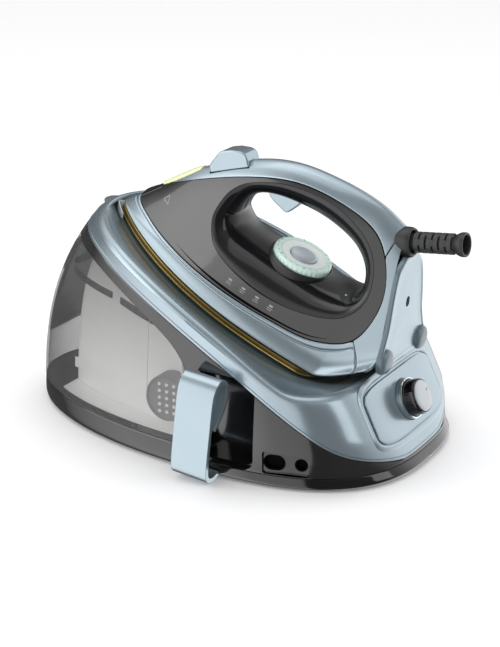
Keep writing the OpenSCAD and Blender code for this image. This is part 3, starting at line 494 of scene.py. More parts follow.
def tank_prism(grow):
    e = cr(EDGE, np.linspace(0, len(EDGE) - 1, 160))
    t = unit(np.gradient(e, axis=0))
    e = e + grow * np.c_[t[:, 1], -t[:, 0]] * -1
    out = np.concatenate([e, [[-260, e[-1, 1]], [-260, -20], [e[0, 0], -20]]])
    n = len(out)
    pts = np.concatenate([np.c_[out[:, 0], np.full(n, s * 150.0), out[:, 1]] for s in (-1, 1)])
    faces = [list(range(n)), list(range(2 * n - 1, n - 1, -1))]
    faces += [[i, n + i, n + (i + 1) % n, (i + 1) % n] for i in range(n)]
    o = make("tool", pts, faces, "black")
    bm = bmesh.new()
    bm.from_mesh(o.data)
    bmesh.ops.recalc_face_normals(bm, faces=bm.faces)
    bm.to_mesh(o.data)
    bm.free()
    return o


def block(x0, x1, y0, y1, z0, z1, frame4=None, r=0.0):
    """Box for a boolean, or a box with rounded edges."""
    frame4 = np.eye(4) if frame4 is None else frame4
    return prism("tool", [(x0, y0), (x1, y0), (x1, y1), (x0, y1)], z0, z1, frame4, "black", r)


def round_rect(w, h, r, n=10):
    a = np.linspace(0, math.pi / 2, n)
    out = []
    for k, (sx, sy) in enumerate(((1, 1), (-1, 1), (-1, -1), (1, -1))):
        for t in a:
            t = t + k * math.pi / 2
            out.append((sx * (w / 2 - r) + r * math.cos(t), sy * (h / 2 - r) + r * math.sin(t)))
    return np.array(out)


def bay_prism(grow, y0, y1, name="tool", mat="black", edge=0.0, under_rim=False):
    c = round_rect(58 + 2 * grow, 75 + 2 * grow, 9 + grow)
    if under_rim:
        t = np.linspace(0, 1, 6, endpoint=False)[:, None]
        c = np.concatenate([mix(a, b, t) for a, b in zip(c, np.roll(c, -1, 0))])
        c[:, 1] = np.minimum(c[:, 1], rim_low(54 + c[:, 0]) - 51.4 + 1.15 * grow)
    f = np.eye(4)
    f[:3, 0], f[:3, 1], f[:3, 2], f[:3, 3] = (1, 0, 0), (0, 0, 1), (0, -1, 0), (54, 0, 50.4)
    return prism(name, c, -y1, -y0, f, mat, edge)


# ---- tray: a lip, an upper band, and a rounded foot that turns in under the base
TRAY_TOP = 20.8
front = smooth(40, 2, wall(ANG, 20)[:, 0])  # 1 at the tank, 0 at the heel
top = mix(12.0, TRAY_TOP, front)
rows = []
for off, f in ((-9.0, 0.0), (-5.2, 0.0), (-2.6, 0.035), (-0.9, 0.13), (-0.15, 0.27), (0.0, 0.40), (0.0, 0.55), (-0.1, 0.72),
               (-0.25, 0.9), (-0.5, 0.965), (-1.0, 1.0), (-2.6, 1.0), (-2.9, 0.9), (-2.9, 0.4)):
    rows.append(wall(ANG, 1.6 + (top - 1.6) * f, off))
g = np.stack(rows, 1)
tray = make("tray_shell", g, grid_faces(len(ANG), g.shape[1], True), "black")
bottom = [wall(ANG, np.full(len(ANG), 1.6), -9.0), np.c_[np.outer(np.ones(len(ANG)), [0, 0]), np.full(len(ANG), 1.6)]]
cap = make("tray_floor", np.stack(bottom[::-1], 1), grid_faces(len(ANG), 2, True), "black")
inner = make("tray_inside", np.stack([wall(ANG, np.full(len(ANG), 8.0), -2.9), 0 * bottom[1] + [0, 0, 8.0]], 1),
             grid_faces(len(ANG), 2, True), "black")
place(crease(join([tray, cap, inner], "tray"), 40), "base_tray")

# ---- side shell, cut clear of the tank and of the bay
lo = 12.35
hi = meet(ANG, lambda x: rim_low(x) - 0.35)
rows = [wall(ANG, lo + (np.maximum(hi, lo + 1) - lo) * f, o) for f, o in
        [(0, -0.5), (0.004, -0.12)] + [(0.01 + 0.98 * k / 26, 0.0) for k in range(27)] + [(0.996, -0.12), (1, -0.5)]]
side = make("side_wall", np.stack(rows, 1), grid_faces(len(ANG), len(rows), True), "dark")
thicken(side, 2.4)
bake(side)
cut(side, tank_prism(0.35))
cut(side, bay_prism(0.4, -140, -60))
plate = prism("tool", round_rect(38.4, 19.6, 2.2), -20, 20,
              OUTLET @ np.array([[1, 0, 0, 0], [0, 0, 1, 0], [0, -1, 0, 0], [0, 0, 0, 1.0]]), "black", 0)
cut(side, plate)
place(crease(side, 30), "side_shell")

# ---- deck cover: band with a lip line, rounded crest, inner groove and step, then the rest recess
lo_c = np.maximum(meet(ANG, rim_low), 13.7)
hi_c = meet(ANG, crest, -3.0)
pf, yf = recess(ANG)
pg, yg = recess(ANG, -7.0)
rows = []
lips = [(0.0, -0.7), (0.006, -0.25), (0.02, 0.0), (0.13, 0.05), (0.15, -0.35), (0.165, -0.6), (0.18, -0.35), (0.2, 0.0)]
lips += [(0.2 + 0.5 * k / 6, 0.0) for k in range(1, 7)]
lip_h = 1.0
for f, o in lips:
    z = lo_c + (hi_c - lo_c) * f if f > 0.2 else lo_c + 16.5 * f
    rows.append(wall(ANG, z, o))
crown = [(-4.5, -0.4), (-3.2, -0.9), (-2.0, -1.6), (-1.1, -2.5), (-0.45, -3.5), (-0.1, -4.4), (0, -5.2), (-0.15, -6.1),
         (-0.5, -7.0), (-1.1, -7.8)]
base_z = hi_c
for dz, o in crown:
    rows.append(wall(ANG, base_z + dz, o))
fl = rest(pf, yf, 0.4)
low = rest(pf, yf, -3.6)
inn = rest(pg, yg, -3.6)
w7 = wall(ANG, base_z - 1.1, -7.8)
w8 = wall(ANG, base_z - 2.6, -8.3)
w9 = wall(ANG, base_z - 2.8, -9.3)
rows += [w8, w9]
for k in range(1, 13):
    f = k / 12
    rows.append(mix(w9, fl, f) + np.c_[0 * f * ANG, 0 * ANG, 1.2 * np.sin(math.pi * f) * np.ones(len(ANG))])
rows += [mix(fl, low, 0.12), mix(fl, low, 0.6), low, mix(low, inn, 0.5), inn]
g = np.stack(rows, 1)
deck = make("deck", g, grid_faces(len(ANG), g.shape[1], True), "blue")
# the recess bowl faces take the darker blue: painted shade under the iron
deck.data.materials.append(M["blue_painted_shade"])
shade_faces = np.tile(np.arange(g.shape[1] - 1) >= len(lips) + len(crown) + 2, len(ANG)).astype(np.int32)
deck.data.polygons.foreach_set("material_index", shade_faces)
thicken(deck, 2.2)
bake(deck)
cut(deck, ring_solid("tool", [(0, -40), (17.9, -40), (17.9, 40), (0, 40)], KNOB, "blue", 64))
place(crease(deck, 30), "deck_cover")

# ---- rest surface with pads
a = np.linspace(-math.pi, math.pi, 200, endpoint=False)
pp, yy = recess(a, -0.7)
plate = prism("rest_pad", np.c_[pp, yy], -3.3, -0.5, REST, "rest", 0.4)
pads = [plate]
for p0, s in ((205, 1), (205, -1), (120, 1), (120, -1), (60, 1), (60, -1)):
    w = float(sole_w(p0)) - 18
    pads.append(prism("pad", round_rect(26, 12, 5.9), -0.6, -0.3, REST @ move(p0, s * w, 0), "soft", 0.15))
place(join(pads, "rest_surface"), "rest_plate")

# ---- clear stop round the nose
aa = np.radians(np.linspace(156, 204, 61))
rows = []
prof = [(-4.0, 0.8), (-2.5, 0.8), (-2.1, 3.0), (-1.7, 5.4), (-1.9, 5.9), (-2.4, 6.1), (-3.0, 5.9), (-3.3, 5.2), (-3.7, 3.0)]
for o, q in prof:
    p, y = recess(aa, o)
    rows.append(rest(p, y, q))
g = np.stack(rows, 1)
stop = make("stop", g, [*map(tuple, grid_faces(61, len(prof), False, True)), tuple(range(len(prof))),
                        tuple(60 * len(prof) + i for i in range(len(prof) - 1, -1, -1))], "stop")
bm = bmesh.new()
bm.from_mesh(stop.data)
bmesh.ops.recalc_face_normals(bm, faces=bm.faces)
bm.to_mesh(stop.data)
bm.free()
place(soften(stop, 0.5, 3, 30), "nose_stop")

# ---- control panel
n = 96
f = np.linspace(-1, 1, n + 1)
yy = 60 * f
h = 22.5 * (1 - (np.abs(f) * 0.985) ** 5) ** 0.2


def panel_x(z, y, off):
    e = 2.65 + 1.6 * smooth(8, 45, z)
    return 44 + (heel_x(z) + off - 44) * (1 - (np.abs(y) / half_w(z)) ** e) ** (1 / e)


g = np.zeros((n + 1, 25, 3))
for k in range(25):
    z = 52 + h * (k / 12 - 1)
    g[:, k] = np.stack([panel_x(z, yy, 2.0), yy, z], -1)
cp = sheet("control_plate", g, "blue", 1.6, edge=0.6)
cut(cp, ring_solid("tool", [(0, -40), (17.9, -40), (17.9, 40), (0, 40)], KNOB, "blue", 64))
place(crease(cp, 30), "control_panel")
t = np.linspace(0, 1, 240, endpoint=False)


def panel_ring(t, grow):
    """Outline of the control panel, grown, as (y, z)."""
    a = 2 * math.pi * t
    return 60 * powr(np.cos(a), 0.42) * (1 + grow / 60), 52 + (22.5 + grow) * powr(np.sin(a), 0.42)


rows = []
for grow, off in ((1.2, 0.1), (1.7, 0.8), (2.8, 1.15), (4.4, 1.0), (6.2, 0.1)):
    y, z = panel_ring(t, grow)
    rows.append(np.stack([panel_x(z, y, off), y, z], -1))
fr = make("panel_frame", np.stack(rows[::-1], 1), grid_faces(240, 5, True), "blue")
place(fr, "control_panel", False)

# ---- collar, ring, knob, cap
place(ring_solid("collar", [(3.05, -11), (20, -11), (20, -6.6), (17.3, -6.6), (17.3, 4.6), (17.1, 5.5), (16.5, 6), (16, 6),
                            (16, 3), (3.05, 3)], KNOB, "blue", 96), "knob_collar")
place(ring_solid("bezel", [(16.0, 6.05), (17.0, 6.05), (17.3, 6.3), (17.3, 6.9), (17.0, 7.25), (16.3, 7.25), (16.0, 7.0)],
                 KNOB, "chrome", 96), "knob_ring")
a = np.linspace(0, 2 * math.pi, 240, endpoint=False)
flute = 0.14 * (0.5 + 0.5 * np.cos(40 * a)) ** 2
rows = []
for r, z, k in ((3.05, 3.6, 0), (14.6, 3.6, 0), (15.4, 4.2, 0), (15.5, 5.2, 0.3), (15.4, 7.0, 1), (14.8, 14.2, 1), (14.6, 15.6, 0.4),
                (14.2, 16.4, 0), (13.8, 16.8, 0), (13.3, 16.4, 0), (13.2, 14.95, 0), (3.05, 14.95, 0)):
    rr = r - k * flute
    rows.append(np.stack([rr * np.cos(a), rr * np.sin(a), np.full(240, z)], -1))
kn = make("knob_grip", through(KNOB, np.stack(rows, 1)), grid_faces(240, len(rows), True, True), "black")
place(crease(kn, 35), "steam_knob")
cap = ring_solid("cap_disc", [(0, 15.0), (13.1, 15.0), (13.1, 17.0), (12.8, 17.5), (12.1, 17.8), (7, 17.92), (0, 17.95)], KNOB,
                 "silver", 96)
bar = prism("cap_mark", round_rect(0.7, 4.2, 0.34), 17.86, 17.95, KNOB @ turn_z(20) @ move(0, 8.0, 0), "soft", 0)
place(join([cap, bar], "knob_cap_disc"), "knob_cap")

# ---- bay behind the hook
bay = bay_prism(0.15, -109, -84, "bay", under_rim=True)
wallcut = make("tool", np.stack([wall(ANG, np.full(len(ANG), z), -0.9) for z in (0, 30, 60, 100)], 1),
               grid_faces(len(ANG), 4, True), "black")
bm = bmesh.new()
bm.from_mesh(wallcut.data)
bmesh.ops.holes_fill(bm, edges=[e for e in bm.edges if len(e.link_faces) == 1])
bmesh.ops.recalc_face_normals(bm, faces=bm.faces)
bm.to_mesh(wallcut.data)
bm.free()
cut(bay, wallcut, "INTERSECT")
cut(bay, bay_prism(-1.6, -140, -93.0, under_rim=True))
place(crease(bay, 30), "hook_bay")

# ---- hose hook: a formed band with rounded edges
HOOK = [[9.9, 7], [18, 4.8], [26, 7], [29.5, 16], [29.5, 50], [28, 80], [20.5, 90], [11, 87], [6.5, 77], [10, 65], [17, 56], [23.2, 50]]
hp = cr(HOOK, np.linspace(0, 11, 133))
d = unit(np.gradient(hp, axis=0))
nrm = np.c_[-d[:, 1], d[:, 0]]
out = np.concatenate([hp + 2.0 * nrm, (hp - 2.0 * nrm)[::-1]])
hk_frame = move(36, -107.5, 0) @ turn_y(5.8)
lf = np.eye(4)
lf[:3, 0], lf[:3, 1], lf[:3, 2] = (0, -1, 0), (0, 0, 1), (1, 0, 0)
hook = prism("hook_band", out, -16.5, 16.5, hk_frame @ lf, "blue", 1.3, 4)
place(hook, "hose_hook")

# ---- outlet plate
XZ = np.array([[1, 0, 0, 0], [0, 0, 1, 0], [0, -1, 0, 0], [0, 0, 0, 1.0]])
op = prism("plate", round_rect(37.6, 18.8, 2), -0.15, 2.2, OUTLET @ XZ, "dark", 0.35)


def slot_outline(x0, x1, r, n=24):
    a = np.linspace(-math.pi / 2, math.pi / 2, n)
    return np.concatenate([np.c_[x1 + r * np.cos(a), r * np.sin(a)], np.c_[x0 - r * np.cos(a), -r * np.sin(a)]])


cut(op, prism("tool", slot_outline(-12, -7, 6.7), -30, 20, OUTLET @ XZ, "black", 0))
cut(op, prism("tool", slot_outline(12.5, 12.5, 5.5), -30, 20, OUTLET @ XZ, "black", 0))
place(crease(op, 30), "outlet_plate")
for nm, x0, x1, r in (("hose_socket", -12, -7, 6.7), ("cord_grommet", 12.5, 12.5, 5.5)):
    o2 = slot_outline(x0, x1, r - 0.05)
    i2 = slot_outline(x0, x1, r - 1.1)
    rows = [np.c_[o2, np.full(len(o2), 0.3)], np.c_[i2, np.full(len(o2), 0.3)], np.c_[i2, np.full(len(o2), 4.5)],
            np.c_[o2 * 0.02 + [[(x0 + x1) / 2, 0]], np.full(len(o2), 4.5)]]
    g = through(OUTLET @ XZ, np.stack(rows, 1))
    place(crease(make(nm, g, grid_faces(len(o2), 4, True), "hole"), 40), "outlet_plate", False)

# ---- water tank: smoke skin, pale glowing liner at the back (painted light), dark bars, dark nose sheet (painted shade), filler lid
zz = np.linspace(21.9, 166, 40)
skin = make("skin", np.stack([wall(ANG, np.full(len(ANG), z), 0.0) for z in zz], 1), grid_faces(len(ANG), 40, True), "tank")
thicken(skin, 2.0)
bake(skin)
cut(skin, tank_prism(-0.35), "INTERSECT")
lid_hole = block(-230, -130, -26.4, 26.4, 116.6, 146.4)
cut(skin, lid_hole)
crease(skin, 30)
# liner: back wall inside the skin, in a pale material that glows: painted light seen through the tank (the floor sheets
# follow with the inner walls)
zs = np.linspace(24, 104, 12)
back = []
for z in zs:
    x = min(13.0, float(np.interp(z, [24, 92, 104], [13, 12, 2])))
    w = float(half_w(z)) * math.sqrt(max(0, 1 - ((44 - x) / (44 - float(nose_x(z)))) ** 2)) - 4
    back.append([(x, -w, z), (x, -w / 3, z), (x, w / 3, z), (x, w, z)])
liner = bake(thicken(make("liner", np.array(back), grid_faces(len(zs), 4), "liner"), 1.5))


def inside(x, z, side=-1, off=3.4):
    """Point on the inner face of the tank wall."""
    x, z = np.broadcast_arrays(np.asarray(x, float), z)
    c = (x - 44) / (44 - nose_x(z) - off)
    return np.stack([x, side * (half_w(z) - off) * np.sqrt(np.clip(1 - c * c, 0.0004, 1)), z + 0 * x], -1)


# pale inner walls of the tank, glowing as painted light, behind the smoke skin on both sides
mid = []
for side in (-1, 1):
    gr = np.zeros((40, 30, 3))
    for k, x in enumerate(np.linspace(-132, 12, 40)):
        zt = min(150.0, float(np.interp(x, EDGE[::-1, 0], EDGE[::-1, 1])) - 9) if x < 12 else 88.0
        gr[k] = inside(x, np.linspace(24, zt, 30), side, 24.0)
    mid.append(bake(thicken(make("inner_wall", gr if side < 0 else gr[::-1], grid_faces(40, 30), "liner"), 1.2)))
    xs = np.linspace(-132, 12, 40)
    gr = np.stack([inside(xs, 25.5, side, o) for o in np.linspace(4.0, 23.5, 8)], 1)
    mid.append(bake(thicken(make("inner_floor", gr if side > 0 else gr[::-1], grid_faces(40, 8), "liner"), 1.0)))
# dark slanted bars laid on the inside of the wall, on both sides
inner_strips = []
for side in (-1, 1):
    for x0, z0, x1, z1, w in ((-128, 131, -67, 127.5, 5.2), (-56, 126, -18, 117.5, 5.6)):
        f = np.linspace(0, 1, 24)[:, None]
        v = np.linspace(-0.5, 0.5, 5)[None, :]
        x, z = x0 + (x1 - x0) * f + 0 * v, z0 + (z1 - z0) * f + w * v
        gr = inside(x, z, side)
        inner_strips.append(bake(thicken(make("dark_bar", gr if side < 0 else gr[::-1], grid_faces(24, 5), "tank_dark"), 1.2)))
    z = np.linspace(54, 118, 30)[:, None]
    v = np.linspace(-0.5, 0.5, 3)[None, :]
    gr = inside(-21.5 + 0.9 * v + 0 * z, z + 0 * v, side, 2.3)
    inner_strips.append(make("seam", gr if side < 0 else gr[::-1], grid_faces(30, 3), "stop"))
    # level scale on the lower front of the wall, in the pale glowing liner material (painted light)
    f = np.linspace(0, 1, 12)[:, None]
    v = np.linspace(-0.5, 0.5, 5)[None, :]
    gr = inside(-112 + 22 * f + 0 * v, 57 + 4 * f + 9 * v, side, 3.2)
    inner_strips.append(make("scale", gr if side < 0 else gr[::-1], grid_faces(12, 5), "liner"))
# dark sheet across the nose, behind the lid: painted shade at the nose end of the tank under the rim
sheet_rows = []
for z in np.linspace(60, 150, 24):
    x = float(nose_x(z)) + 13
    w = float(half_w(z)) * math.sqrt(max(0, 1 - ((44 - x) / (44 - float(nose_x(z)))) ** 2)) - 3.0
    sheet_rows.append([(x, w * t, z) for t in np.linspace(-1, 1, 13)])
nose_shade_sheet = bake(thicken(make("nose_shade_sheet", np.array(sheet_rows), grid_faces(24, 13), "tank_dark"), 1.2))
place(join([skin, liner, nose_shade_sheet] + mid + inner_strips, "tank_body"), "water_tank")

yy = np.linspace(25.4, -25.4, 41)
g = np.zeros((41, 21, 3))
for k in range(21):
    z = 118.6 + 26.8 * k / 20
    g[:, k] = np.stack([44 - (44 - nose_x(z)) * np.sqrt(1 - (yy / half_w(z)) ** 2), yy, np.full(41, z)], -1)
lid = sheet("filler_lid", g, "dark", 2.2, edge=0.6)
neck = block(-152.6, -147.4, -20, 20, 122, 141, r=0.8)
neck.data.materials[0] = M["soft"]
place(join([lid, neck], "filler_lid"), "tank_lid")

# filter cartridge with dotted face; the cartridge and its pale dots glow a little: painted light
disc = ring_solid("disc", [(0, -2), (17.5, -2), (18.6, -1), (19.4, -0.6), (20, -2), (20, -26), (0, -26)],
                  move(-6, -103, 52) @ np.array(Matrix.Rotation(math.radians(90), 4, "X")), "filter_glow", 96)
dots = []
for i in (-1, 0, 1):
    for k in range(-2, 3):
        dots.append(ring_solid("dot", [(0, -1.9), (1.5, -1.9), (1.2, -1.1), (0, -0.9)],
                               move(-6 + i * 7, -103, 52 + k * 6) @ np.array(Matrix.Rotation(math.radians(90), 4, "X")), "liner", 20))
place(join([disc] + dots, "cartridge"), "scale_filter")

# ------------------------------------------------------------------ iron surfaces

RIDGE_PTS = [[0, 8.5], [30, 48], [58, 82], [98, 115], [133, 133], [175, 141.5], [210, 143], [236, 138], [256, 131], [292, 118]]
rt = cr(RIDGE_PTS, np.linspace(0, 9, 721))
PANEL = [[14, 27.5], [45, 60], [96, 99.5], [140, 123], [185, 130.5], [222, 126], [246, 104], [256, 76], [250, 44], [222, 27], [180, 22],
         [130, 19], [80, 18], [38, 20]]
GRIP = [[92.5, 69], [96, 88], [110, 104], [140, 119.5], [180, 126.5], [214, 120], [234, 104], [243, 78], [233, 55.5], [206, 42.5],
        [170, 36], [133, 37.5], [108, 44], [95.5, 57]]
OPEN = [[105, 71], [109, 86], [120, 96], [140, 102.5], [172, 107], [204, 104], [223, 93], [230, 79], [225, 67], [203, 60.5],
        [170, 58.5], [138, 58], [116, 58], [107, 63]]


def q_top(p):
    return np.interp(p, rt[:, 0], rt[:, 1])


def q_bot(p):
    return 8.5 + 0.22 * np.maximum(np.asarray(p, float) - 238, 0) ** 1.35


def body_w(p, q):
    s = np.clip((q - q_bot(p)) / np.maximum(q_top(p) - q_bot(p), 1e-6), 0, 1)
    return sole_w(p) * (0.78 * np.sqrt(1 - s) + 0.22 * np.exp(-s / 0.05))


ut = cr(PANEL, np.linspace(0, 6, 600), True)
lt = cr(PANEL, 14 - np.linspace(0, 6, 600), True)


def upper_edge(p):
    return np.interp(p, ut[:, 0], ut[:, 1])


def lower_edge(p):
    return np.interp(p, lt[:, 0], lt[:, 1])


def skin_at(c, side, out=0.0):
    return rest(c[..., 0], side * (body_w(c[..., 0], c[..., 1]) + out), c[..., 1])


K = np.linspace(0, 14, 336, endpoint=False)
gk, bk, ok = cr(GRIP, K, True), cr(PANEL, K, True), cr(OPEN, K, True)


def panel_grid(side):
    d = unit(bk - gk)
    a, b = gk + 0.4 * d, bk - 0.45 * d
    J = np.linspace(0, 1, 25)
    g = np.stack([skin_at(mix(a, b, j), side, 0.0) for j in J], 1)
    return g if side < 0 else g[::-1]


for side, nm, node in ((-1, "side_panel_near", "panel_near"), (1, "side_panel_far", "panel_far")):
    place(sheet(nm, panel_grid(side), "dark", 2.2, True, 0.45), node)

# crease line along the lower part of each side panel
line = np.linspace(8.6, 12.25, 90)
for side, nm in ((-1, "near"), (1, "far")):
    c = mix(cr(GRIP, line, True), cr(PANEL, line, True), (0.82 + 0.04 * np.sin(np.linspace(0, math.pi, 90)) ** 0.5)[:, None])
    wdt = 1.2 * np.sin(np.linspace(0.02, math.pi - 0.02, 90)) ** 0.8
    d = unit(cr(PANEL, line, True) - cr(GRIP, line, True))
    rows = [skin_at(c + d * (wdt * v)[:, None], side, 0.12 * (1 - v * v) - 0.02) for v in (-1, -0.5, 0, 0.5, 1)]
    g = np.stack(rows, 1)
    o = make("panel_line_" + nm, g if side < 0 else g[::-1], grid_faces(90, 5), "hole")
    place(o, "panel_near" if side < 0 else "panel_far", False)

# ---- grip round the hand opening
F = np.radians(np.linspace(90, -90, 41))
g = np.zeros((len(K), 41, 3))
for j, f in enumerate(F):
    c = mix(ok, gk, 1 - math.cos(f))
    g[:, j] = rest(c[:, 0], body_w(gk[:, 0], gk[:, 1]) * math.sin(f), c[:, 1])
grip = make("grip", g, grid_faces(len(K), 41, True), "grip")
thicken(grip, 2.2)
bake(grip)
cut(grip, block(118.5, 151.5, -5.8, 5.8, 80, 118, REST))
place(crease(grip, 35), "handle_grip")

# ---- top cover
n = 240
p = mix(32.4, 237.6, (np.arange(n + 1) / n) ** 1.05)
lo_t = np.minimum(upper_edge(p) + 0.55, q_top(p) - 0.3)
hi_t = q_top(p) - 0.01
J = np.linspace(-1, 1, 45)
rows = []
for v in J:
    q = lo_t + (hi_t - lo_t) * (1 - v * v)
    sgn = 0.0 if abs(v) < 1e-9 else (-1.0 if v < 0 else 1.0)
    rows.append(rest(p, sgn * body_w(p, q), q))
g = np.stack(rows, 1)
topc = make("top", g, grid_faces(n + 1, 45), "blue")
thicken(topc, 2.2, even=False)
soften(topc, 0.45)
bake(topc)
cut(topc, block(-17.5, 22, -10.5, 10.5, -20, 20, RIDGE))
cut(topc, ring_solid("tool", [(0, -40), (12.5, -40), (12.5, 20), (0, 20)], CORD, "blue", 64))
place(crease(topc, 32), "top_cover")

# ---- lower skirt, with the lip line under the side panels
n = 170
i = np.arange(-n, n + 1)
f = (np.abs(i) / n) ** 1.35
pt, pb = mix(14, 252.6, f), 266 * f
s = -np.sign(i).astype(float)
qb, qt = q_bot(pb), lower_edge(pt) - 0.6
rows = []
lipv = [(0, -0.5), (0.03, -0.1), (0.07, 0)] + [(0.07 + 0.62 * k / 12, 0) for k in range(1, 13)]
lipv += [(0.715, -0.05), (0.735, -0.5), (0.75, -0.62), (0.765, -0.5), (0.785, -0.05), (0.85, 0.08), (0.93, 0.05), (0.98, -0.08), (1, -0.4)]
for v, o in lipv:
    c = np.stack([mix(pb, pt, v), mix(qb, qt, v)], -1)
    rows.append(rest(c[:, 0], s * np.maximum(body_w(c[:, 0], c[:, 1]) + o, 0.0), c[:, 1]))
sk = make("skirt", np.stack(rows, 1), grid_faces(2 * n + 1, len(rows)), "blue")
thicken(sk, 2.0, even=False)
place(bake(sk), "lower_skirt")


# ---- rear cover
def heel_p(q):
    return 279.4 - (q - 34.4) * math.tan(math.radians(20.7))


HEEL_EDGE = [[267.5, 28], [heel_p(42), 42], [heel_p(64), 64], [heel_p(92), 92], [heel_p(116), 116], [heel_p(136), 136]]
n = 110
i = np.arange(-n, n + 1)
f = 1 - np.abs(i) / n
s = -np.sign(i).astype(float)
first = cr(PANEL, 7.95 - 2.3 * np.minimum(f, 0.72) / 0.72, True)
gg = np.clip((f - 0.72) / 0.28, 0, 1)
lo238 = upper_edge(238) + 0.3
second = np.stack([np.full(len(f), 238.0), mix(lo238, q_top(238) - 0.01, 1 - (1 - gg) ** 2)], -1)
a_ = np.where((f < 0.72)[:, None], first, second)
b_ = cr(HEEL_EDGE, f * 5)
d = unit(b_ - a_)
rows = [rest(*(lambda c: (c[:, 0], s * body_w(c[:, 0], c[:, 1]), c[:, 1]))(mix(a_ + 0.6 * d, b_, v))) for v in np.linspace(0, 1, 25)]
rc = make("rear", np.stack(rows, 1), grid_faces(2 * n + 1, 25), "blue")
thicken(rc, 2.2)
soften(rc, 0.5)
bake(rc)
cut(rc, ring_solid("tool", [(0, -40), (12.5, -40), (12.5, 20), (0, 20)], CORD, "blue", 64))
place(crease(rc, 32), "rear_cover")

# ---- nose window and the black patch at the ridge's tip
n = 60
p = mix(30.0, 57.0, np.arange(n + 1) / n)
hi_w = q_top(p)
lo_w = hi_w - 0.4 - 3.6 * np.sin(np.linspace(0.04, 1, n + 1) * math.pi * 0.97) ** 0.5
rows = []
for v in np.linspace(-1, 1, 25):
    q = lo_w + (hi_w - lo_w) * (1 - v * v)
    o = 0.7 * (1 - v**4) + 0.3 + 0.12 * np.cos(np.arange(n + 1) * math.pi / 2)
    y = np.sign(v) * (body_w(p, np.minimum(q, hi_w - 0.01)) + 0.5 * abs(v))
    rows.append(rest(p - o * 0.75, y, q + o * 0.65))
win = thicken(make("window", np.stack(rows, 1), grid_faces(n + 1, 25), "lit"), 0.8)
place(bake(win), "nose_window")
p = np.linspace(15.5, 31.0, 30)
rows = []
for v in np.linspace(-1, 1, 17):
    hi_n = q_top(p) - 0.01
    lo_n = hi_n - 4.5
    q = lo_n + (hi_n - lo_n) * (1 - v * v)
    rows.append(rest(p, np.sign(v) * (body_w(p, q) + 0.25), q))
place(bake(thicken(make("nose_patch", np.stack(rows, 1), grid_faces(30, 17), "black"), 0.8)), "top_cover", False)


# ---- soleplate: rolled edge in a bright copy of the sole metal (painted highlight) below the side in a dark copy (painted dark reflection)
def sole_outline(grow, z, n=150):
    p = 0.6 + 246.4 * np.sin(np.linspace(0, math.pi / 2, n + 1)) ** 1.6
    round_off = (1 - np.clip((p - 221) / 26, 0, 1) ** 2.6) ** (1 / 2.6)
    w = np.maximum((sole_w(p) + grow) * round_off, 0.02)
    p = np.clip(p, 0.6 - grow * 0.5, 247 + grow * 0.5)
    pts = np.concatenate([np.c_[p, -w], np.c_[p[::-1], w[::-1]]])
    return through(REST, np.c_[pts, np.full(len(pts), z)])


rings = [(-2.6, 0.0), (-1.4, 0.12), (-0.6, 0.5), (-0.12, 1.1), (0, 1.8), (-0.1, 2.5), (-0.35, 2.9)]
side_r = [(-0.35, 2.9), (-0.5, 3.4), (-0.75, 5.2), (-1.2, 6.3), (-2.0, 6.5)]
g1 = np.stack([sole_outline(o, z) for o, z in rings], 1)
g2 = np.stack([sole_outline(o, z) for o, z in side_r], 1)
e1 = make("edge_roll", g1, grid_faces(g1.shape[0], g1.shape[1], True), "sole_metal_lit")
e2 = make("edge_side", g2, grid_faces(g2.shape[0], g2.shape[1], True), "sole_metal_shaded")
m_ = len(g1) // 2


def fill(name, ring, mat, flip):
    h = len(ring) // 2
    g = np.stack([ring[:h], ring[::-1][:h]], 1)
    return make(name, g if flip else g[:, ::-1], grid_faces(h, 2), mat)


vents = []
for k in range(7):
    for sgn in (-1, 1):
        pv = 40 + 26 * k
        vents.append(ring_solid("vent", [(0, 0.05), (1.7, 0.05), (1.7, -0.02), (0, -0.02)],
                                REST @ move(pv, sgn * (float(sole_w(pv)) - 13), 0), "soft", 16))
place(join([e1, e2, fill("under", g1[:, 0], "sole_metal_lit", False), fill("over", g2[:, -1], "sole_metal_shaded", True)] + vents, "sole"), "soleplate")
ring_o = [sole_outline(-1.5, z) for z in (6.6, 7.4, 8.4)]
g = np.stack(ring_o + [sole_outline(-6, 8.4)], 1)
place(make("shield", g, grid_faces(g.shape[0], 4, True), "soft"), "heat_shield")

# ---- dial
house = ring_solid("housing_ring", [(20, 44), (28.0, 44), (28.0, 58.8), (27.6, 60.2), (26.9, 60.9), (26.5, 60.6), (26.4, 59.8),
                                    (26.4, 50.2), (3.1, 50.2), (3.1, 44)], DIAL, "soft", 120)
place(house, "dial_housing")
a = np.linspace(0, 2 * math.pi, 480, endpoint=False)
nub = np.clip(np.cos(36 * a), 0, 1) ** 0.5
rows = []
prof = [(3.05, 50.6, 0), (25.2, 50.6, 0), (25.7, 51.0, 0), (25.75, 54.0, 0.3), (25.75, 57.0, 1), (25.7, 61.8, 1), (25.5, 63.6, 0.7),
        (24.9, 64.7, 0.3), (24.0, 65.2, 0), (21.6, 65.3, 0), (20.9, 65.0, 0), (20.5, 64.5, 0), (20.1, 64.5, 0), (19.6, 64.9, 0),
        (13.2, 63.9, 0), (12.4, 63.8, 0), (11.7, 63.3, 0), (11.5, 62.8, 0), (11.5, 62.0, 0), (3.05, 62.0, 0)]
for r, z, k in prof:
    rr = r - 0.45 * k * nub
    rows.append(np.stack([rr * np.cos(a), rr * np.sin(a), np.full(480, z)], -1))
ring = crease(make("dial_ring", through(DIAL, np.stack(rows, 1)), grid_faces(480, len(prof), True, True), "mint"), 45)
face = ring_solid("face_ring", [(13.0, 63.6), (13.2, 64.0), (19.4, 65.0), (19.7, 64.7)], DIAL, "face", 96)
ticks = []
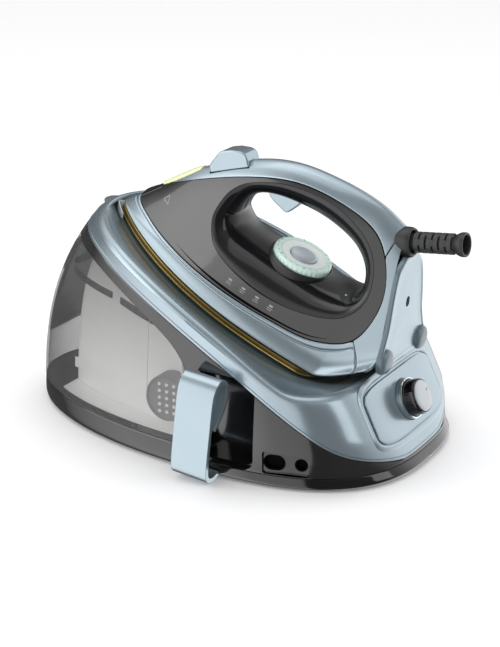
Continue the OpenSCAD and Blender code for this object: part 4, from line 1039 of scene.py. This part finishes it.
for k in range(1, 23):
    wide = k % 4 == 0
    f4 = DIAL @ turn_z(15 * k) @ move(23.0, 0, 65.16)
    ticks.append(prism("tick", round_rect(2.4 if wide else 1.4, 0.9 if wide else 0.55, 0.2, 4), 0, 0.2, f4, "ink", 0))
for k in range(0, 36, 2):
    f4 = DIAL @ turn_z(10 * k + 5) @ move(25.62, 0, 58.5) @ turn_y(90)
    ticks.append(prism("dot", round_rect(5.0 if k % 4 else 2.6, 1.0, 0.4, 4), -0.2, 0.15, f4, "ink", 0))
place(join([ring, face] + ticks, "dial_wheel"), "temperature_dial")
place(ring_solid("dial_cap_disc", [(0, 62.1), (11.4, 62.1), (11.4, 64.2), (11.1, 64.9), (10.4, 65.25), (9.6, 65.2), (8.8, 64.8), (0, 65.0)],
                 DIAL, "cap", 96), "dial_cap")

# ---- trigger, boost button
YZ = REST @ np.array(Matrix.Rotation(math.radians(90), 4, "X"))
TRIG = [[120.5, 104], [120.4, 97.5], [122.5, 94.6], [127, 92.7], [133, 91.5], [139, 90.3], [141.4, 90.2], [143.2, 91.4], [145, 95], [147.2, 99],
        [149, 103], [149, 109], [140, 110.3], [124, 110]]
place(prism("trigger_blade", TRIG, -5, 5, YZ, "blue", 1.0, 4), "steam_trigger")
RY = RIDGE @ np.array(Matrix.Rotation(math.radians(90), 4, "X"))
BOOST = [[-17, -5], [-17, 1.2], [-14.5, 3.6], [-6, 10.0], [-3.2, 11.6], [0, 12.1], [8, 11.6], [16.4, 9.2], [20.0, 7.0], [21.3, 4.6], [21.5, 2], [21.5, -5]]
place(prism("boost_key", BOOST, -10, 10, RY, "blue", 1.5, 4), "boost_button")

# ---- heel plate with round feet, and screw
HH = [[-1, 26], [3, 36], [-8, 42.5], [-22, 37], [-36, 32], [-60, 28], [-80, 22], [-90, 10]]
hs = cr(HH, np.linspace(0, 7, 85))
outline = np.concatenate([hs, (hs * [1, -1])[::-1]])
cen = np.array([-42.0, 0])
rows = []
for k, z in ((1.0, -4.4), (1.0, -1.6), (0.995, -0.8), (0.98, -0.2), (0.955, 0.0), (0.93, 0.0), (0.9, -0.55), (0.86, -0.75), (0.6, -0.5),
             (0.3, -0.3), (0.02, -0.25)):
    rows.append(np.c_[cen + (outline - cen) * k, np.full(len(outline), z)])
hp_ = make("plate", through(HEEL, np.stack(rows, 1)), grid_faces(len(outline), len(rows), True), "blue")
# the lowest side rows take the darker blue: painted shade along the plate's lower sides
hp_.data.materials.append(M["blue_painted_shade"])
hp_.data.polygons.foreach_set("material_index", np.tile(np.arange(len(rows) - 1) < 3, len(outline)).astype(np.int32))
bm = bmesh.new()
bm.from_mesh(hp_.data)
bmesh.ops.holes_fill(bm, edges=[e for e in bm.edges if len(e.link_faces) == 1])
bmesh.ops.recalc_face_normals(bm, faces=bm.faces)
bm.to_mesh(hp_.data)
bm.free()
cut(hp_, prism("tool", slot_outline(-51.2, -48.8, 3.3), -3.4, 20, HEEL, "soft", 0))
cut(hp_, ring_solid("tool", [(0, -40), (12.5, -40), (12.5, 20), (0, 20)], CORD, "blue", 64))
crease(hp_, 32)
# the feet are wholly in the darker blue: painted shade
feet = [ring_solid("foot", [(0, -1.6), (10.2, -1.6), (10.3, 0.2), (9.6, 1.9), (8.4, 3.0), (6.6, 3.6), (4.0, 3.9), (0, 4.0)],
                   HEEL @ move(-8, 33 * sgn, 0), "blue_painted_shade", 48) for sgn in (-1, 1)]
place(join([hp_] + feet, "heel_shell"), "heel_plate")
place(ring_solid("screw", [(0, -9), (2, -9), (2, -3.1), (3.0, -3.1), (3.0, -2.2), (2.6, -1.9), (1.0, -1.9), (0.9, -2.6), (0, -2.6)],
                 HEEL @ move(-50, 0, 0), "soft", 32), "heel_screw")

# ---- cord holder, ribbed sleeve and cord
place(ring_solid("cord_boss", [(7.3, -13), (12.1, -13), (12.1, 4.5), (11.9, 6.6), (11.2, 8.4), (10.4, 8.9), (9.6, 8.2), (8.6, 4.0), (9.1, 0),
                               (8.0, -5)], CORD, "soft", 80), "cord_holder")
rows = [(4.52, -6.5), (8.6, -2.5), (8.95, 0), (8.6, 2.6), (7.4, 4.6), (7.0, 9.8)]
z = 10.8
for k in range(6):
    rows += [(8.2, z), (8.6, z + 0.4), (8.6, z + 4.0), (8.2, z + 4.4), (7.0, z + 4.6), (7.0, z + 5.5)]
    z += 5.7
rows += [(7.4, 45.0), (8.2, 46.4), (9.3, 48.6), (9.85, 50.4), (9.9, 53.2), (9.6, 53.9), (8.6, 54.0), (7.9, 53.6), (7.5, 52.0), (7.5, 46.1),
         (4.52, 46.0)]
sl = ring_solid("sleeve", rows, CORD, "rubber", 96)
webs = []
for k in range(6):
    for j in range(3):
        f4 = CORD @ turn_z(120 * j + 60 * (k % 2) + 15) @ move(7.2, 0, 15.75 + 5.7 * k)
        webs.append(prism("web", round_rect(2.4, 5.2, 0.5, 4), -1.0, 1.0, f4, "rubber", 0.2))
place(join([sl] + webs, "sleeve_ribbed"), "cord_sleeve")
place(ring_solid("hose", [(2.0, -10), (4.5, -10), (4.5, 32), (2.0, 32)], CORD, "rubber", 48), "steam_cord")

# small pilot lens on the deck under the hand opening
lens = ring_solid("pilot", [(0, 0), (3.2, 0), (3.1, 0.8), (2.2, 1.6), (0, 2.0)], REST @ move(224, -14, 62.6), "green", 32)
place(lens, "handle_grip", False)

# generic print on the side panel: a triangle and rows of bars
marks = []


def print_bar(p0, q0, w, h, ang, side=-1):
    """Small raised printed bar on the side of the iron."""
    c, s_ = math.cos(math.radians(ang)), math.sin(math.radians(ang))
    r = round_rect(w, h, min(w, h) * 0.3, 4)
    pq = np.c_[p0 + r[:, 0] * c - r[:, 1] * s_, q0 + r[:, 0] * s_ + r[:, 1] * c]
    g = np.stack([skin_at(pq, side, 0.06), np.repeat(skin_at(pq.mean(0)[None], side, 0.08), len(pq), 0)], 1)
    return make("mark", g, grid_faces(len(pq), 2, True), "mark")


for p0, q0, w, h, ang in ((44, 41, 7, 0.5, 0), (42.25, 44.03, 7, 0.5, 60), (45.75, 44.03, 7, 0.5, -60)):
    marks.append(print_bar(p0, q0, w, h, ang))
for k in range(4):
    marks.append(print_bar(136 + 14 * k, 30.2 + 0.6 * k, 3.6, 1.5, 3))
    for j in range(2):
        marks.append(print_bar(136 + 14 * k, 26.6 + 1.5 * j + 0.6 * k, 5.4 - 1.4 * ((j + k) % 2), 0.45, 3))
o = join(marks, "panel_print")
place(o, "panel_near", False)

# ------------------------------------------------------------------ CAD pieces that keep their shape
KEEP = {"knob_shaft": "steel", "control_pot": "white", "tank_valve": "soft", "tank_socket": "soft",
        "boiler": "steel", "boiler_cradle": "white", "boiler_heater": "steel", "water_pump": "white", "steam_valve": "brass",
        "circuit_board": "board", "water_pipe": "hose", "steam_pipe": "hose", "rubber_feet": "rubber", "base_screws": "steel",
        "steam_chamber": "cast", "sole_heater": "steel", "thermostat": "white", "dial_shaft": "steel", "trigger_pin": "steel",
        "trigger_spring": "steel", "microswitch": "soft", "button_spring": "steel"}
for node, key in KEEP.items():
    o = NODES[node]
    while len(o.material_slots) < 1:
        o.data.materials.append(None)
    for sl_ in o.material_slots:
        sl_.link = "OBJECT"
        sl_.material = M[key]

# ------------------------------------------------------------------ floor, light, camera


def stage_mat():
    m = bpy.data.materials.new("floor_white")
    m.use_nodes = True
    b = m.node_tree.nodes["Principled BSDF"]
    b.inputs["Base Color"].default_value = (0.93, 0.93, 0.93, 1)
    b.inputs["Roughness"].default_value = 0.6
    b.inputs["Emission Color"].default_value = (1, 1, 1, 1)
    b.inputs["Emission Strength"].default_value = 0.09
    return m


bpy.ops.mesh.primitive_plane_add(size=60, location=(0, 0, 0))
floor = bpy.context.object
floor.name = "floor"
floor.data.materials.append(stage_mat())
floor.visible_glossy = False

world = bpy.data.worlds.new("studio")
scene.world = world
world.use_nodes = True
nt = world.node_tree
bg = nt.nodes["Background"]
lp = nt.nodes.new("ShaderNodeLightPath")
tcw = nt.nodes.new("ShaderNodeTexCoord")
sep = nt.nodes.new("ShaderNodeSeparateXYZ")


def node(kind, **values):
    n = nt.nodes.new(kind)
    for k, v in values.items():
        setattr(n, k, v)
    return n


nt.links.new(tcw.outputs["Generated"], sep.inputs["Vector"])
# glossy rays see a studio: bright walls to the left and right, dark gaps between, a bright ceiling patch
azim = node("ShaderNodeMath", operation="ARCTAN2")
nt.links.new(sep.outputs["Y"], azim.inputs[0])
nt.links.new(sep.outputs["X"], azim.inputs[1])
turn = node("ShaderNodeMapRange")
turn.inputs["From Min"].default_value, turn.inputs["From Max"].default_value = -math.pi, math.pi
nt.links.new(azim.outputs["Value"], turn.inputs["Value"])


def band(stops):
    r = node("ShaderNodeValToRGB")
    e = r.color_ramp.elements
    while len(e) < len(stops):
        e.new(0.5)
    for k, (deg, v) in enumerate(stops):
        e[k].position = (deg + 180) / 360
        e[k].color = (v, v, v * 1.01, 1)
    nt.links.new(turn.outputs["Result"], r.inputs["Fac"])
    return r


side_band = band([(-180, 0.08), (-165, 0.4), (-145, 0.85), (-118, 1.0), (-108, 0.65), (-76, 0.55), (-73, 0.04), (8, 0.06),
                  (34, 0.35), (50, 0.72), (78, 0.72), (94, 0.5), (108, 0.08), (150, 0.04), (180, 0.08)])
high_band = band([(-180, 0.65), (-160, 0.6), (-138, 0.42), (-112, 0.16), (-60, 0.12), (0, 0.25), (60, 0.2), (125, 0.25), (160, 0.6), (180, 0.65)])
lift = node("ShaderNodeMapRange", interpolation_type="SMOOTHSTEP")
lift.inputs["From Min"].default_value, lift.inputs["From Max"].default_value = 0.35, 0.75
nt.links.new(sep.outputs["Z"], lift.inputs["Value"])
room = node("ShaderNodeMix", data_type="RGBA")
nt.links.new(lift.outputs["Result"], room.inputs["Factor"])
nt.links.new(side_band.outputs["Color"], room.inputs["A"])
nt.links.new(high_band.outputs["Color"], room.inputs["B"])
gain = node("ShaderNodeVectorMath", operation="SCALE")
gain.inputs["Scale"].default_value = 2.0
nt.links.new(room.outputs["Result"], gain.inputs[0])
mixw = node("ShaderNodeMix", data_type="RGBA", clamp_result=False)
nt.links.new(lp.outputs["Is Glossy Ray"], mixw.inputs["Factor"])
mixw.inputs["A"].default_value = (1.0, 1.0, 1.01, 1)
nt.links.new(gain.outputs["Vector"], mixw.inputs["B"])
nt.links.new(mixw.outputs["Result"], bg.inputs["Color"])
bg.inputs["Strength"].default_value = 0.95


def softbox(name, at, to, w, h, power, color=(1, 1, 1)):
    d = bpy.data.lights.new(name, "AREA")
    d.shape, d.size, d.size_y, d.energy, d.color = "RECTANGLE", w, h, power, color
    o = bpy.data.objects.new(name, d)
    scene.collection.objects.link(o)
    o.location = at
    o.rotation_euler = (Vector(to) - Vector(at)).to_track_quat("-Z", "Y").to_euler()
    return o


softbox("overhead", (-0.2, 0.1, 1.6), (0, 0, 0.1), 1.6, 1.2, 5)
softbox("left_front", (-1.5, -1.1, 1.0), (0, 0, 0.1), 1.4, 1.2, 6)
softbox("right_side", (1.7, 0.2, 0.8), (0.1, 0, 0.1), 0.7, 1.3, 4)

cam_d = bpy.data.cameras.new("camera")
cam = bpy.data.objects.new("camera", cam_d)
scene.collection.objects.link(cam)
target = Vector((0.006, 0, 0.110)) + Vector(OFFSET * MM)
az, el = math.radians(30), math.radians(19.5)
cam.location = target + 1.5 * Vector((math.sin(az) * math.cos(el), -math.cos(az) * math.cos(el), math.sin(el)))
cam.rotation_euler = (target - cam.location).to_track_quat("-Z", "Y").to_euler()
cam_d.lens, cam_d.sensor_width = 97.65, 36
cam_d.shift_x, cam_d.shift_y = 0.0141, -0.0379
scene.camera = cam
scene.view_settings.view_transform = "Standard"
